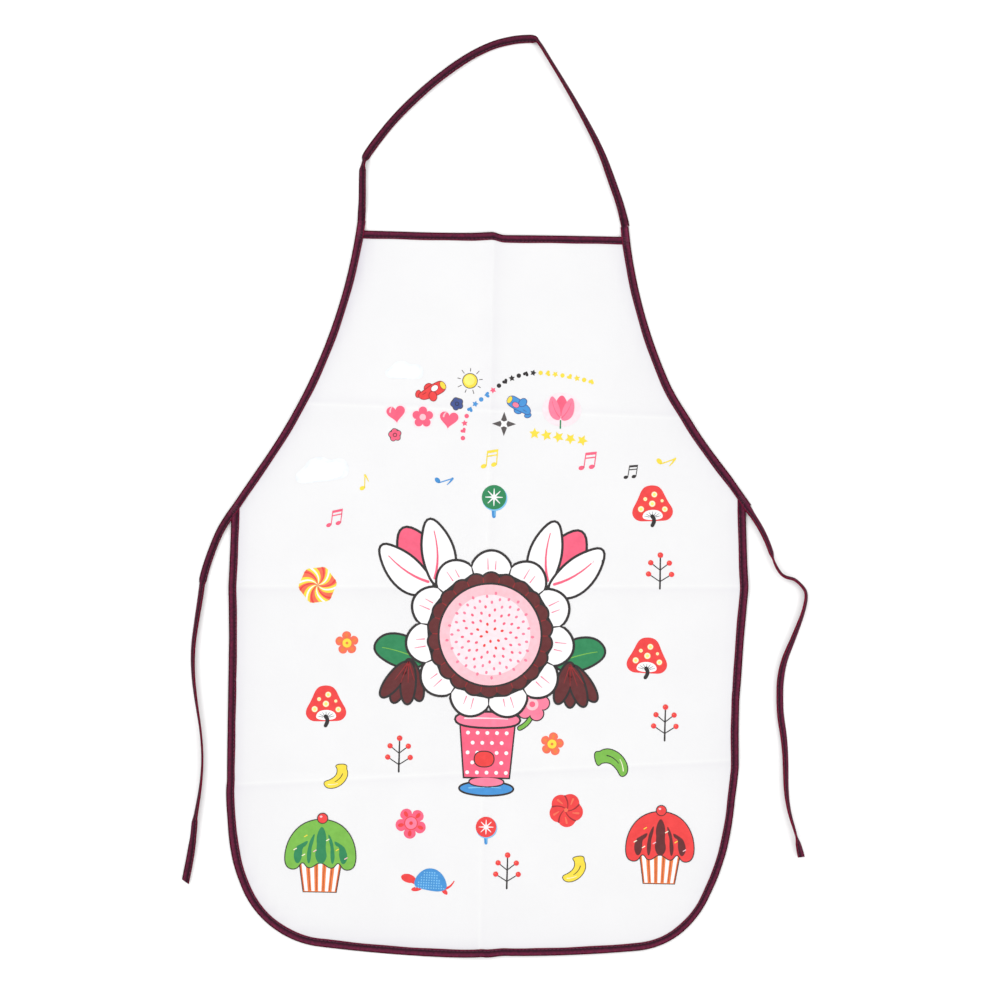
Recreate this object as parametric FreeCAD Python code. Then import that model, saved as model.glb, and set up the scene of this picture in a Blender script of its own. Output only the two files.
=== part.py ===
"""A child's bib apron of thin plastic film, bound all round with folded tape, lying flat and face up.

Frame: +X to the right as one looks at the front, +Y towards the neck, +Z up out of the front face. The
origin is on the supporting surface, under the middle of the apron without its neck loop and ties.

The film is one die-cut sheet that has been packed folded. It keeps a crease at every quarter of its
length, where it still folds, so it is four panels in a chain. One tape closes the bib's top edge, one
goes round both sides and the hem, and one long tape binds both armholes and runs on as the neck loop
and the ties.
"""

import FreeCAD, Part
import math
import os

V = FreeCAD.Vector

# ---------------------------------------------------------------- driving dimensions, mm and degrees
BODY_WIDTH = 382.0  # across the two side edges
BODY_LENGTH = 540.0  # from the bib's top edge to the lowest point of the hem
BIB_WIDTH = 205.0  # across the armhole edges at the bib's top
WAIST_DROP = 200.5  # from the bib's top edge down to the waist corners
ARM_STRAIGHT = 42.0  # straight end of each armhole edge, above the waist corner
ARM_ANGLE = 35.0  # that straight end, from the vertical
SIDE_RADIUS = 240.0  # where the side starts to turn in
SIDE_TURN = 22.0
CORNER_RADIUS = 67.0  # the rounded corner of the skirt
CORNER_TURN = 62.0  # what is left of the quarter turn is the hem's own shallow arc

TAPE_WIDTH = 6.0  # finished width of the folded tape
TAPE_LAYER = 0.45  # one side of the folded tape
FILM_THICKNESS = 0.2
FACE_CLEARANCE = 0.02  # between a face and the tape folded over it
EDGE_CLEARANCE = 0.25  # between an edge and the inside of the tape's fold

PANELS = 4  # equal lengths that the sheet was folded into
FOLD_GAP = 0.4  # between the solids on the two sides of a crease that folds
STRAP_ROOT = 6.0  # tape standing past the bib's top edge
STRAP_GAP = 0.3  # between a strap and the tape that it continues
TIE_REACH = 11.0  # from the armhole edge's end to the point that a tie swings about

THREAD_WIDTH = 0.35
THREAD_HEIGHT = 0.15
SEAM_INSET = 1.2  # from the tape's inner edge to its line of stitching
SEAM_STOP = 0.3  # between the end of a seam and the tape that crosses it, or the fold that it stops at

POCKET_MARGIN = 0.6  # how far a crossing reaches past the tape that it covers
TACK_BARS = 6  # stitches in one bar tack
TACK_PITCH = 1.1
TACK_LENGTH = 3.6

# Routes of the straps, chosen point by point: the middle of the tape where it lies on the table.
NECK_ROUTE = [
    (-98.7, 273.0), (-98.3, 287.0), (-98.6, 304.0), (-98.4, 317.5), (-90.0, 331.5), (-72.8, 353.4),
    (-50.0, 375.5), (-25.5, 394.8), (-4.5, 406.6), (11.5, 411.6), (23.5, 413.2), (30.4, 408.8),
    (37.0, 398.5), (49.5, 379.5), (64.6, 354.8), (78.9, 328.6), (88.6, 303.0), (95.2, 286.0),
    (98.7, 273.0),
]
LEFT_TIE_ROUTE = [
    (-194.8, 55.8), (-200.2, 41.0), (-205.9, 25.0), (-210.6, 9.0), (-213.4, -8.0), (-215.8, -27.0),
    (-217.6, -46.0), (-217.0, -66.0), (-214.6, -86.5), (-211.2, -107.0), (-209.2, -127.0),
    (-210.2, -147.0), (-213.2, -168.0), (-214.9, -187.0), (-217.4, -205.0), (-219.4, -221.5),
]
RIGHT_TIE_ROUTE = [
    (194.8, 55.8), (204.2, 46.5), (210.0, 34.5), (213.8, 24.5), (219.0, 16.8), (227.0, 13.6),
    (234.5, 10.0), (238.2, 2.0), (237.0, -8.0), (232.8, -20.0), (228.0, -34.5), (222.6, -50.0),
    (219.9, -69.0), (220.6, -88.0), (223.8, -106.0), (225.3, -125.0), (226.0, -143.5),
    (229.0, -160.5), (234.8, -177.0), (238.3, -193.5),
]
ARC_SHARE = 0.45  # of the shorter run, at each end of a strap's arc

# ---------------------------------------------------------------- what follows from them
HALF = BODY_WIDTH / 2
HEM_Y = -(BODY_LENGTH + STRAP_ROOT) / 2
BIB_Y = HEM_Y + BODY_LENGTH
ROOT_Y = BIB_Y + STRAP_ROOT
WAIST_Y = BIB_Y - WAIST_DROP
PANEL = BODY_LENGTH / PANELS
UPPER_CREASE, MIDDLE_CREASE, LOWER_CREASE = (BIB_Y - PANEL * n for n in range(1, PANELS))

BOUND = FILM_THICKNESS + 2 * (FACE_CLEARANCE + TAPE_LAYER)  # height of tape folded over the film
CROSSING = BOUND + 2 * (FACE_CLEARANCE + TAPE_LAYER)  # height of tape folded over bound film
STRAP = 2 * TAPE_LAYER
MIDDLE = CROSSING / 2  # height of the film's own middle
FILM_EDGE = TAPE_LAYER + EDGE_CLEARANCE  # the film stops this far inside the tape's fold
SEAM = TAPE_WIDTH - SEAM_INSET
FAR = 4 * (BODY_WIDTH + BODY_LENGTH)


class Pen:
    """Draws a line in the XY plane, with a constant offset to the right of the way it goes."""

    def __init__(self, start, heading, offset=0.0):
        self.heading = math.radians(heading)
        self.offset = offset
        self.at = V(start[0], start[1], 0) + self.right() * offset
        self.edges = []

    def ahead(self, turn=0.0):
        return V(math.cos(self.heading + turn), math.sin(self.heading + turn), 0)

    def right(self):
        return self.ahead(-math.pi / 2)

    def line(self, length):
        if length > 1e-6:
            end = self.at + self.ahead() * length
            self.edges.append(Part.makeLine(self.at, end))
            self.at = end
        return self

    def arc(self, radius, turn):
        """Turns by that many degrees, positive to the left, on that radius of the line itself."""
        side = 1 if turn > 0 else -1
        centre = self.at - self.right() * side * (radius + side * self.offset)
        spoke = self.at - centre
        middle, end = (
            centre + FreeCAD.Rotation(V(0, 0, 1), turn * share).multVec(spoke) for share in (0.5, 1.0)
        )
        self.edges.append(Part.Arc(self.at, middle, end).toShape())
        self.at = end
        self.heading += math.radians(turn)
        return self


def band(draw, low, high):
    """The flat face between two offsets, low and high, of the line that draw(offset) makes."""
    near, far = draw(low), draw(high)
    caps = [
        Part.makeLine(near.at, far.at),
        Part.makeLine(far.edges[0].Vertexes[0].Point, near.edges[0].Vertexes[0].Point),
    ]
    return Part.Face(Part.Wire(Part.__sortEdges__(near.edges + far.edges + caps)))


def raised(face, low, high):
    face = face.copy()
    face.translate(V(0, 0, low))
    return face.extrude(V(0, 0, high - low))


def layer(face, height):
    """The face as a solid of that height about the film's middle."""
    return raised(face, MIDDLE - height / 2, MIDDLE + height / 2)


def slab(x=(-FAR, FAR), y=(-FAR, FAR)):
    """Everything between two places across or along the apron."""
    return Part.makeBox(x[1] - x[0], y[1] - y[0], FAR, V(x[0], y[0], -FAR / 2))


def mirrored(shape):
    return shape.mirror(V(0, 0, 0), V(1, 0, 0))


def both(shape):
    return shape.fuse(mirrored(shape)).removeSplitter()


def thread(draw, offset, height):
    """Needle thread above and bobbin thread below tape of that height, along one offset of a line."""
    face = band(draw, offset - THREAD_WIDTH / 2, offset + THREAD_WIDTH / 2)
    top, bottom = MIDDLE + height / 2, MIDDLE - height / 2
    return raised(face, top, top + THREAD_HEIGHT).fuse(raised(face, bottom - THREAD_HEIGHT, bottom))


# ---------------------------------------------------------------- the edges, on the +X side
def arm_geometry():
    """Start, start heading, radius and turn of the armhole's arc, which ends tangent to its straight end."""
    end_angle = math.radians(ARM_ANGLE)
    corner = V(HALF, WAIST_Y, 0)
    end = corner - V(math.sin(end_angle), -math.cos(end_angle), 0) * ARM_STRAIGHT
    start = V(BIB_WIDTH / 2, BIB_Y, 0)
    chord = end - start
    chord_angle = math.atan2(chord.x, -chord.y)
    half_turn = end_angle - chord_angle
    radius = chord.Length / (2 * math.sin(half_turn))
    return start, math.degrees(chord_angle - half_turn) - 90, radius, math.degrees(2 * half_turn)


def arm_edge(before=0.0, after=0.0):
    """Draws the armhole edge downwards, so that an offset goes into the apron."""
    start, heading, radius, turn = arm_geometry()

    def draw(offset):
        pen = Pen(start, heading, offset)
        pen.at -= pen.ahead() * before
        return pen.line(before).arc(radius, turn).line(ARM_STRAIGHT + after)

    return draw


def skirt_edge(before=0.0):
    """Draws the side and half of the hem, from the waist corner to the middle of the hem."""
    side, corner = math.radians(SIDE_TURN), math.radians(SIDE_TURN + CORNER_TURN)
    hem_turn = 90 - SIDE_TURN - CORNER_TURN
    taken = SIDE_RADIUS * (1 - math.cos(side)) + CORNER_RADIUS * (math.cos(side) - math.cos(corner))
    hem_radius = (HALF - taken) / math.cos(corner)
    drop = SIDE_RADIUS * math.sin(side) + CORNER_RADIUS * (math.sin(corner) - math.sin(side))
    drop += hem_radius * (1 - math.sin(corner))
    straight = WAIST_Y - HEM_Y - drop

    def draw(offset):
        pen = Pen(V(HALF, WAIST_Y + before, 0), -90, offset)
        pen.line(straight + before).arc(SIDE_RADIUS, -SIDE_TURN).arc(CORNER_RADIUS, -CORNER_TURN)
        return pen.arc(hem_radius, -hem_turn)

    return draw


def top_edge():
    """Draws the bib's top edge from the middle outwards, past the armhole edge."""

    def draw(offset):
        return Pen(V(0, BIB_Y, 0), 0, offset).line(BIB_WIDTH / 2 + TAPE_WIDTH)

    return draw


def outline():
    right = arm_edge()(0).edges + skirt_edge()(0).edges
    left = [mirrored(edge) for edge in right]
    top = Part.makeLine(V(-BIB_WIDTH / 2, BIB_Y, 0), V(BIB_WIDTH / 2, BIB_Y, 0))
    return Part.Face(Part.Wire(Part.__sortEdges__(right + left + [top])))


# ---------------------------------------------------------------- film
def film():
    """The whole sheet, held clear of the fold of every tape."""
    sheet = layer(outline(), FILM_THICKNESS)
    for draw in (arm_edge(TAPE_WIDTH, TAPE_WIDTH), skirt_edge(TAPE_WIDTH), top_edge()):
        rim = layer(band(draw, -TAPE_WIDTH, FILM_EDGE), CROSSING)
        sheet = sheet.cut(rim).cut(mirrored(rim))
    return sheet


# ---------------------------------------------------------------- tape
def channel(draw, height, gap):
    """Tape folded over an edge: a U section of that height, open inwards, with a slot of that gap."""
    tape = layer(band(draw, 0, TAPE_WIDTH), height)
    slot = layer(band(draw, TAPE_LAYER, TAPE_WIDTH + 1), gap)
    return tape.cut(slot)


def armhole_side(reach):
    """What lies outside an offset of both armhole edges: it trims the tapes that end under them."""
    side = layer(band(arm_edge(4 * TAPE_WIDTH, 4 * TAPE_WIDTH), -4 * TAPE_WIDTH, reach), 4 * CROSSING)
    return side.fuse(mirrored(side))


def plain_channel(draw):
    return channel(draw, BOUND, FILM_THICKNESS + 2 * FACE_CLEARANCE)


def bib_tape():
    tape = both(plain_channel(top_edge()))
    return tape.cut(armhole_side(FILM_EDGE))


def skirt_tape():
    tape = both(plain_channel(skirt_edge(2 * TAPE_WIDTH)))
    return tape.cut(armhole_side(FILM_EDGE))


def arm_tape():
    """The +X armhole's tape: thin over film, thick where it crosses another tape, flat where it leaves."""
    line = arm_edge(2 * STRAP_ROOT, TIE_REACH - TAPE_WIDTH / 2 - STRAP_GAP)
    thin = plain_channel(line)
    thick = channel(line, CROSSING, BOUND + 2 * FACE_CLEARANCE)
    flat = layer(band(line, 0, TAPE_WIDTH), STRAP)
    bib = slab(y=(BIB_Y - TAPE_WIDTH - POCKET_MARGIN, BIB_Y + POCKET_MARGIN))
    waist = slab(x=(HALF - TAPE_WIDTH - POCKET_MARGIN, HALF + POCKET_MARGIN))
    root = slab(y=(BIB_Y + POCKET_MARGIN, ROOT_Y))
    tail = slab(x=(HALF + POCKET_MARGIN, FAR))
    edge = slab(x=(-FAR, HALF - TAPE_WIDTH - POCKET_MARGIN), y=(-FAR, BIB_Y - TAPE_WIDTH - POCKET_MARGIN))
    pieces = [
        thin.common(edge), thick.common(bib), thick.common(waist), flat.common(root), flat.common(tail),
    ]
    return pieces[0].multiFuse(pieces[1:]).removeSplitter()


def bar_tack(centre, heading):
    """A row of short stitches on the upper face of a crossing, one after the other along the heading."""
    bars = []
    for i in range(TACK_BARS):
        place = (i - (TACK_BARS - 1) / 2) * TACK_PITCH
        bar = Part.makeBox(THREAD_WIDTH, TACK_LENGTH, THREAD_HEIGHT)
        bar.translate(V(place - THREAD_WIDTH / 2, -TACK_LENGTH / 2, CROSSING))
        bars.append(bar)
    row = Part.makeCompound(bars)
    row.rotate(V(0, 0, 0), V(0, 0, 1), heading)
    row.translate(centre)
    return row


# ---------------------------------------------------------------- straps
def fitted(route, start):
    """The route's points, moved with the tape that the strap continues, which starts there at +X."""
    wider = start.x - abs(route[0][0])
    return [V(x + math.copysign(wider, x), y + start.y - route[0][1], 0) for x, y in route]


def route_line(points, name):
    """Draws straight runs joined by tangent arcs, each as large as its two runs allow."""
    runs = [b - a for a, b in zip(points, points[1:])]
    turns = [math.degrees(math.atan2(a.cross(b).z, a.dot(b))) for a, b in zip(runs, runs[1:])]
    cuts = [ARC_SHARE * min(a.Length, b.Length) for a, b in zip(runs, runs[1:])]
    radii = [cut / math.tan(math.radians(abs(turn) / 2)) for cut, turn in zip(cuts, turns)]
    print(name, "radii", [round(radius) for radius in radii])
    trims = [0.0] + cuts + [0.0]

    def draw(offset):
        pen = Pen(points[0], math.degrees(math.atan2(runs[0].y, runs[0].x)), offset)
        for i, run in enumerate(runs):
            pen.line(run.Length - trims[i] - trims[i + 1])
            if i < len(turns):
                pen.arc(radii[i], turns[i])
        return pen

    return draw


def strap(draw):
    return layer(band(draw, -TAPE_WIDTH / 2, TAPE_WIDTH / 2), STRAP)


def tie(route, name, side):
    """A tie and its thread. It swings about its first point, so that end is round."""
    pivot = arm_edge(0, TIE_REACH)(TAPE_WIDTH / 2).at
    points = fitted(route, pivot)
    draw = route_line(points, name)
    end = Part.makeCylinder(TAPE_WIDTH / 2, STRAP, points[0] + V(0, 0, MIDDLE - STRAP / 2))
    tape = strap(draw).fuse(end).removeSplitter()
    return {name: tape, name + "_seam": thread(draw, side * (TAPE_WIDTH / 2 - SEAM_INSET), STRAP)}


def neck():
    """The neck loop and its thread, which both stop short of the tape that they continue."""
    start, heading, _, _ = arm_geometry()
    pen = Pen(start, heading, TAPE_WIDTH / 2)
    root = pen.at + pen.ahead() * ((ROOT_Y - pen.at.y) / pen.ahead().y)
    draw = route_line(fitted(NECK_ROUTE, root), "neck_loop")
    tape_start = slab(y=(ROOT_Y + STRAP_GAP, FAR))
    seam_start = slab(y=(ROOT_Y + STRAP_GAP + SEAM_STOP, FAR))
    seam = thread(draw, SEAM_INSET - TAPE_WIDTH / 2, STRAP)
    return {"neck_loop": strap(draw).common(tape_start), "neck_loop_seam": seam.common(seam_start)}


# ---------------------------------------------------------------- assembly
def panels(shape, names, gap):
    """Cuts a shape at the creases. The names go down from the bib, with None where a panel has no part."""
    lines = (FAR, UPPER_CREASE, MIDDLE_CREASE, LOWER_CREASE, -FAR)
    made = {}
    for name, top, bottom in zip(names, lines, lines[1:]):
        if name:
            made[name] = shape.common(slab(y=(bottom + gap / 2, top - gap / 2)))
    return made


def sided(shapes):
    """The same pieces on both sides, each as a node of its own."""
    right = slab(x=(0, FAR))
    made = {}
    for name, shape in shapes.items():
        made[name + "_right"] = shape.common(right)
        made[name + "_left"] = mirrored(made[name + "_right"])
    return made


def films():
    return panels(film(), ("film_bib", "film_waist", "film_lap", "film_hem"), FOLD_GAP)


def bindings():
    made = {"bib_binding": bib_tape()}
    tape = skirt_tape()
    sides = panels(tape, (None, "side_binding_upper", "side_binding_lower", None), FOLD_GAP)
    arms = panels(arm_tape(), ("arm_binding_upper", "arm_binding_lower", None, None), FOLD_GAP)
    made.update(panels(tape, (None, None, None, "hem_binding"), FOLD_GAP))
    made.update(sided(sides | arms))
    return made


def seams():
    """The lines of stitching. Each stops at the tape that crosses it and at every fold."""
    crossing = armhole_side(TAPE_WIDTH + SEAM_STOP)
    gap = FOLD_GAP + 2 * SEAM_STOP
    made = {"bib_seam": both(thread(top_edge(), SEAM, BOUND)).cut(crossing)}
    line = both(thread(skirt_edge(2 * TAPE_WIDTH), SEAM, BOUND)).cut(crossing)
    made.update(panels(line, (None, None, None, "hem_seam"), gap))
    made.update(sided(panels(line, (None, "side_seam_upper", "side_seam_lower", None), gap)))
    thin = POCKET_MARGIN + SEAM_STOP + TAPE_WIDTH
    line = thread(arm_edge(), SEAM, BOUND).common(slab(x=(0, HALF - thin), y=(-FAR, BIB_Y - thin)))
    made.update(sided(panels(line, ("arm_seam_upper", "arm_seam_lower", None, None), gap)))
    return made


def tacks():
    """A bar tack on each crossing, square to the tape on top."""
    start, heading, _, _ = arm_geometry()
    middle = TAPE_WIDTH / 2
    bib = Pen(start, heading, middle).line(middle).at
    waist = arm_edge()(middle).at
    return sided({
        "bar_tack_bib": bar_tack(bib, heading),
        "bar_tack_waist": bar_tack(waist, ARM_ANGLE - 90),
    })


def nodes():
    made = films() | bindings() | seams() | tacks() | neck()
    made |= tie(LEFT_TIE_ROUTE, "tie_left", -1)
    made |= tie(RIGHT_TIE_ROUTE, "tie_right", 1)
    return made


os.makedirs("parts", exist_ok=True)
for node, shape in nodes().items():
    if not shape.isValid() or not shape.Solids:
        print("check", node)
    Part.makeCompound(shape.Solids).exportStep(f"parts/{node}.step")
    print(node, len(shape.Solids), round(shape.Volume, 1))
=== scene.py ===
"""A child's bib apron of thin printed film, edged with folded tape, with a neck loop and two ties."""

import math

import bmesh
import bpy
import numpy as np
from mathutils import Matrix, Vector


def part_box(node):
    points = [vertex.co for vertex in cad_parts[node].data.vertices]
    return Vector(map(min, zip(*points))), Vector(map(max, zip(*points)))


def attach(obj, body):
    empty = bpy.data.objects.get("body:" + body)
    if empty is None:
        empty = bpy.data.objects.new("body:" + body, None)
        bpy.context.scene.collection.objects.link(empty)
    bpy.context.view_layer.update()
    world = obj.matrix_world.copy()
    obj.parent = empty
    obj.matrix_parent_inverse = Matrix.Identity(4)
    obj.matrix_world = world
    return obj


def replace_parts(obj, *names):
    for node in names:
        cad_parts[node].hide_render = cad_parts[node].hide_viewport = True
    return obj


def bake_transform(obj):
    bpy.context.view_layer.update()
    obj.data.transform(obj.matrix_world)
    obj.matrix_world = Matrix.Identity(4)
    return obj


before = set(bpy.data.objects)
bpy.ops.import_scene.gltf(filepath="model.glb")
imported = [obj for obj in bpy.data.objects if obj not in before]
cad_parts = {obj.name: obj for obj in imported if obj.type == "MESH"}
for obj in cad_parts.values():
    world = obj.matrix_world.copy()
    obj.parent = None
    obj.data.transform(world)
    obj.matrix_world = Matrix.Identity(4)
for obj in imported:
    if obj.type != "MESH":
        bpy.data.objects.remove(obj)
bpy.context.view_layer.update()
bpy.ops.object.select_all(action="DESELECT")

# ------------------------------------------------------------------ sizes, metres and degrees
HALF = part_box("side_binding_upper_right")[1].x
HEM_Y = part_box("hem_binding")[0].y
BIB_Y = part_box("bib_binding")[1].y
UPPER_CREASE = (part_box("film_bib")[0].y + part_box("film_waist")[1].y) / 2
MIDDLE_CREASE = (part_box("film_waist")[0].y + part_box("film_lap")[1].y) / 2
LOWER_CREASE = (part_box("film_lap")[0].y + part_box("film_hem")[1].y) / 2
FILM_MIDDLE = (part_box("film_bib")[0].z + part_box("film_bib")[1].z) / 2
BIB_HALF = 0.1025  # half the bib's top edge
WAIST_Y = 0.0665  # place of the waist corners
ARM_STRAIGHT = 0.042  # the armhole ends in a straight run, at this angle to the apron's length
ARM_ANGLE = 35.0
SIDE_RADIUS, SIDE_TURN = 0.240, 22.0
CORNER_RADIUS, CORNER_TURN = 0.067, 62.0
UPPER_JOIN = (UPPER_CREASE + MIDDLE_CREASE) / 2
LOWER_JOIN = (MIDDLE_CREASE + LOWER_CREASE) / 2
# Where each packing crease runs on the film: its middle, how much it climbs to the right, and the side of its
# painted shade.
CREASE_LINES = [
    (UPPER_CREASE + 0.0015, -0.018, -0.003),
    (MIDDLE_CREASE + 0.0065, 0.021, 0.003),
    (LOWER_CREASE + 0.003, 0.070, 0.003),
]
FILM_REST = 0.00075  # what the slow waves lift the film by, on average
CROSS_RIDGES = (0.0009, 0.0014, 0.0009)  # height of the ridge along each of those creases
LENGTHWISE_RIDGE = 0.0017
RIDGE_WIDTH = 0.011
CALM_WIDTH = 0.024  # the sheet lies lower within about this of the lower crease, where the hem folds over
RIGHT_WAIST_RISE = 0.0070  # the waist's corners lie this much off their true places
LEFT_WAIST_DROP = 0.0080

TAPE = 0.006  # width of the folded tape
FILM = 0.0002  # thickness of the film
FILM_EDGE = 0.0007  # the film's edge lies this far inside the fold of the tape
SEAM = 0.0048  # line of stitching, from the tape's outer fold
PITCH = 0.0029  # one stitch and its gap
STEP = PITCH / 2
BOUND = 0.00057  # half the height of tape over film
CROSSING = 0.00104  # half the height of tape over bound film
STRAP = 0.00045  # half the height of tape folded on itself
STRAP_SLOT = 0.00003  # half the gap between its two layers

NECK_ROUTE = [
    (-0.0987, 0.2730), (-0.0983, 0.2870), (-0.0986, 0.3040), (-0.0986, 0.3178), (-0.0900, 0.3315),
    (-0.0728, 0.3534), (-0.0500, 0.3755), (-0.0255, 0.3948), (-0.0045, 0.4062), (0.0115, 0.4104),
    (0.0205, 0.4113), (0.0280, 0.4115), (0.0324, 0.4062), (0.0372, 0.3985), (0.0495, 0.3795),
    (0.0646, 0.3548), (0.0789, 0.3286), (0.0886, 0.3030), (0.0948, 0.2860), (0.0980, 0.2730),
]
LEFT_TIE_ROUTE = [
    (-0.1886, 0.0567), (-0.1948, 0.0478), (-0.1999, 0.0382), (-0.2045, 0.0261), (-0.2085, 0.0140),
    (-0.2111, 0.0041), (-0.2123, -0.0080), (-0.2150, -0.0270), (-0.2174, -0.0460), (-0.2170, -0.0660),
    (-0.2142, -0.0865), (-0.2104, -0.1070), (-0.2084, -0.1270), (-0.2090, -0.1470), (-0.2120, -0.1680),
    (-0.2134, -0.1760), (-0.2140, -0.1880), (-0.2163, -0.2050), (-0.2194, -0.2215),
]
RIGHT_TIE_ROUTE = [
    (0.1886, 0.0717), (0.1950, 0.0628), (0.2023, 0.0521), (0.2072, 0.0429), (0.2110, 0.0337),
    (0.2137, 0.0252), (0.2178, 0.0180), (0.2218, 0.0147), (0.2270, 0.0137), (0.2302, 0.0126),
    (0.2361, 0.0070), (0.2381, 0.0030), (0.2380, -0.0030), (0.2356, -0.0134), (0.2286, -0.0321),
    (0.2225, -0.0472), (0.2199, -0.0621), (0.2199, -0.0751), (0.2206, -0.0880), (0.2240, -0.1060),
    (0.2255, -0.1250), (0.2260, -0.1435), (0.2286, -0.1605), (0.2344, -0.1770), (0.2385, -0.1935),
]
# How far each side edge has crept outwards (inwards where negative): place along the apron, and creep.
LEFT_CREEP = [
    (-0.250, 0.0052), (-0.215, 0.0054), (-0.205, 0.0049), (-0.190, 0.0032), (-0.175, 0.0014),
    (-0.1526, 0.0002), (-0.145, -0.0008), (-0.115, -0.0006), (-0.040, -0.0003), (-0.0022, 0.0009),
    (0.030, 0.0003), (0.060, 0.0),
]
RIGHT_CREEP = [
    (-0.245, -0.0062), (-0.226, -0.0046), (-0.211, -0.0029), (-0.190, -0.0020), (-0.152, -0.0022),
    (-0.1283, -0.0003), (-0.100, -0.0010), (-0.078, -0.0010), (-0.063, 0.0), (-0.035, 0.0013),
    (0.006, 0.0041), (0.046, 0.0013), (0.070, 0.0005), (0.090, 0.0),
]
# Lean of each strap along its length: distance from its root, and degrees from lying flat.
NECK_LEAN = [
    (0.000, 24), (0.0375, 30), (0.0415, 66), (0.0450, 66), (0.0480, 2), (0.150, 8), (0.2065, 2),
    (0.2105, 70), (0.230, 70), (0.247, 66), (0.283, 52), (0.325, 26), (0.364, 12),
]
LEFT_TIE_LEAN = [
    (0.000, 6), (0.058, 8), (0.0610, 46), (0.078, 50), (0.094, 58), (0.118, 62), (0.135, 68), (0.155, 76),
    (0.170, 80), (0.195, 81), (0.210, 77), (0.225, 70), (0.2365, 62), (0.2400, 42), (0.252, 36),
    (0.262, 14), (0.285, 6),
]
RIGHT_TIE_LEAN = [
    (0.000, 44), (0.030, 50), (0.0460, 56), (0.0500, 84), (0.056, 77), (0.080, 76), (0.092, 70),
    (0.104, 66), (0.115, 56), (0.135, 42), (0.155, 28), (0.190, 32), (0.208, 42), (0.225, 50), (0.240, 58),
    (0.256, 70), (0.2735, 82), (0.279, 50), (0.288, 28),
]


# ------------------------------------------------------------------ how the apron lies
def lift(x, y):
    """Height that the sheet stands above the table, with its packing creases and slow waves."""
    wave = 0.00042 * np.sin(x / 0.034 + 0.8) * np.cos(y / 0.041 + 0.3)
    wave += 0.00030 * np.sin((x + 1.7 * y) / 0.052 + 2.0)
    rise = FILM_REST + wave
    rise += LENGTHWISE_RIDGE * np.exp(-np.abs(x) / RIDGE_WIDTH)
    for height, (middle, climb, _) in zip(CROSS_RIDGES, CREASE_LINES):
        rise += height * np.exp(-(((y - middle - climb * x) / RIDGE_WIDTH) ** 2))
    return np.maximum(rise, 0.0) * (1 - np.exp(-np.abs(y - LOWER_CREASE) / CALM_WIDTH))


def eased(value, low, high):
    """From 0 at one place to 1 at another, slowly at both ends."""
    part = np.clip((value - low) / (high - low), 0, 1)
    return part * part * (3 - 2 * part)


def crept(y, edge):
    """How far the side edge has crept at a place along the apron, with its corners a little rounded."""
    places, amounts = zip(*edge)
    return sum(np.interp(y + d, places, amounts) for d in (-0.002, 0.0, 0.002)) / 3


def waist_shift(x, y):
    """The right waist corner has moved up the apron, and the left one down."""
    right = RIGHT_WAIST_RISE * np.clip((x - 0.135) / 0.045, 0, 1)
    left = LEFT_WAIST_DROP * np.clip((-x - 0.105) / 0.086, 0, 1)
    return np.where(x > 0, right, -left) * eased(y, 0.018, 0.050)


def top_shift(x, y):
    """The bib's top edge sags, more on the right, with a step beside the lengthwise crease."""
    left = 0.0010 + 0.0004 * np.exp(-(((x + 0.045) / 0.03) ** 2))
    left = left - 0.0010 * np.exp(-(((x - 0.002) / 0.012) ** 2))
    right = 0.0016 + 0.0006 * np.exp(-np.maximum(x - 0.012, 0) / 0.03)
    step = eased(x, -0.002, 0.008)
    sag = left * (1 - step) + right * step
    return -sag * np.clip((y - UPPER_CREASE) / (BIB_Y - UPPER_CREASE), 0, 1) ** 3


def hem_shift(x, y):
    """The hem has risen at the lengthwise crease and to its right, and dropped to its left."""
    rise = 0.0012 * np.exp(-np.abs(x - 0.002) / 0.010) - 0.0010 + 0.0020 * eased(x, 0.004, 0.020)
    return rise * np.clip((LOWER_CREASE - y) / (LOWER_CREASE - HEM_Y), 0, 1) ** 3


def laid(points):
    """Points of the flat apron, moved to where they come to lie."""
    points = np.array(points, float).reshape(-1, 3)
    x, y = points[:, 0], points[:, 1]
    beside = np.sign(x) * np.minimum(np.abs(x) / HALF, 1.05) ** 4
    creep = np.where(x > 0, crept(y, RIGHT_CREEP), crept(y, LEFT_CREEP))
    narrow = 0.0013 * eased(x, 0.0, 0.1) * eased(y, 0.125, 0.155)
    moved = points.copy()
    moved[:, 0] += beside * creep - narrow
    moved[:, 1] += hem_shift(x, y) + top_shift(x, y) + waist_shift(x, y)
    moved[:, 2] += lift(x, y)
    return moved


def lay(piece):
    mesh = piece.data
    flat = np.zeros(len(mesh.vertices) * 3)
    mesh.vertices.foreach_get("co", flat)
    mesh.vertices.foreach_set("co", laid(flat).ravel())
    mesh.update()
    return piece


# ------------------------------------------------------------------ edges
def ahead(heading):
    return Vector((math.cos(math.radians(heading)), math.sin(math.radians(heading))))


def right_of(heading):
    return ahead(heading - 90)


def walk(start, heading, runs):
    """Points and inward normals along runs. A run is a length, or a radius and a turn to the right."""
    at = Vector(start)
    path = [(at.copy(), right_of(heading))]
    for run in runs:
        if isinstance(run, tuple):
            radius, turn = run
            side = 1 if turn > 0 else -1
            centre = at + right_of(heading) * radius * side
            count = max(1, round(radius * math.radians(abs(turn)) / STEP))
            for i in range(1, count + 1):
                now = heading - turn * i / count
                path.append((centre - right_of(now) * radius * side, right_of(now)))
            heading -= turn
        else:
            count = max(1, round(run / STEP))
            for i in range(1, count + 1):
                path.append((at + ahead(heading) * run * i / count, right_of(heading)))
        at = path[-1][0].copy()
    return path


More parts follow.
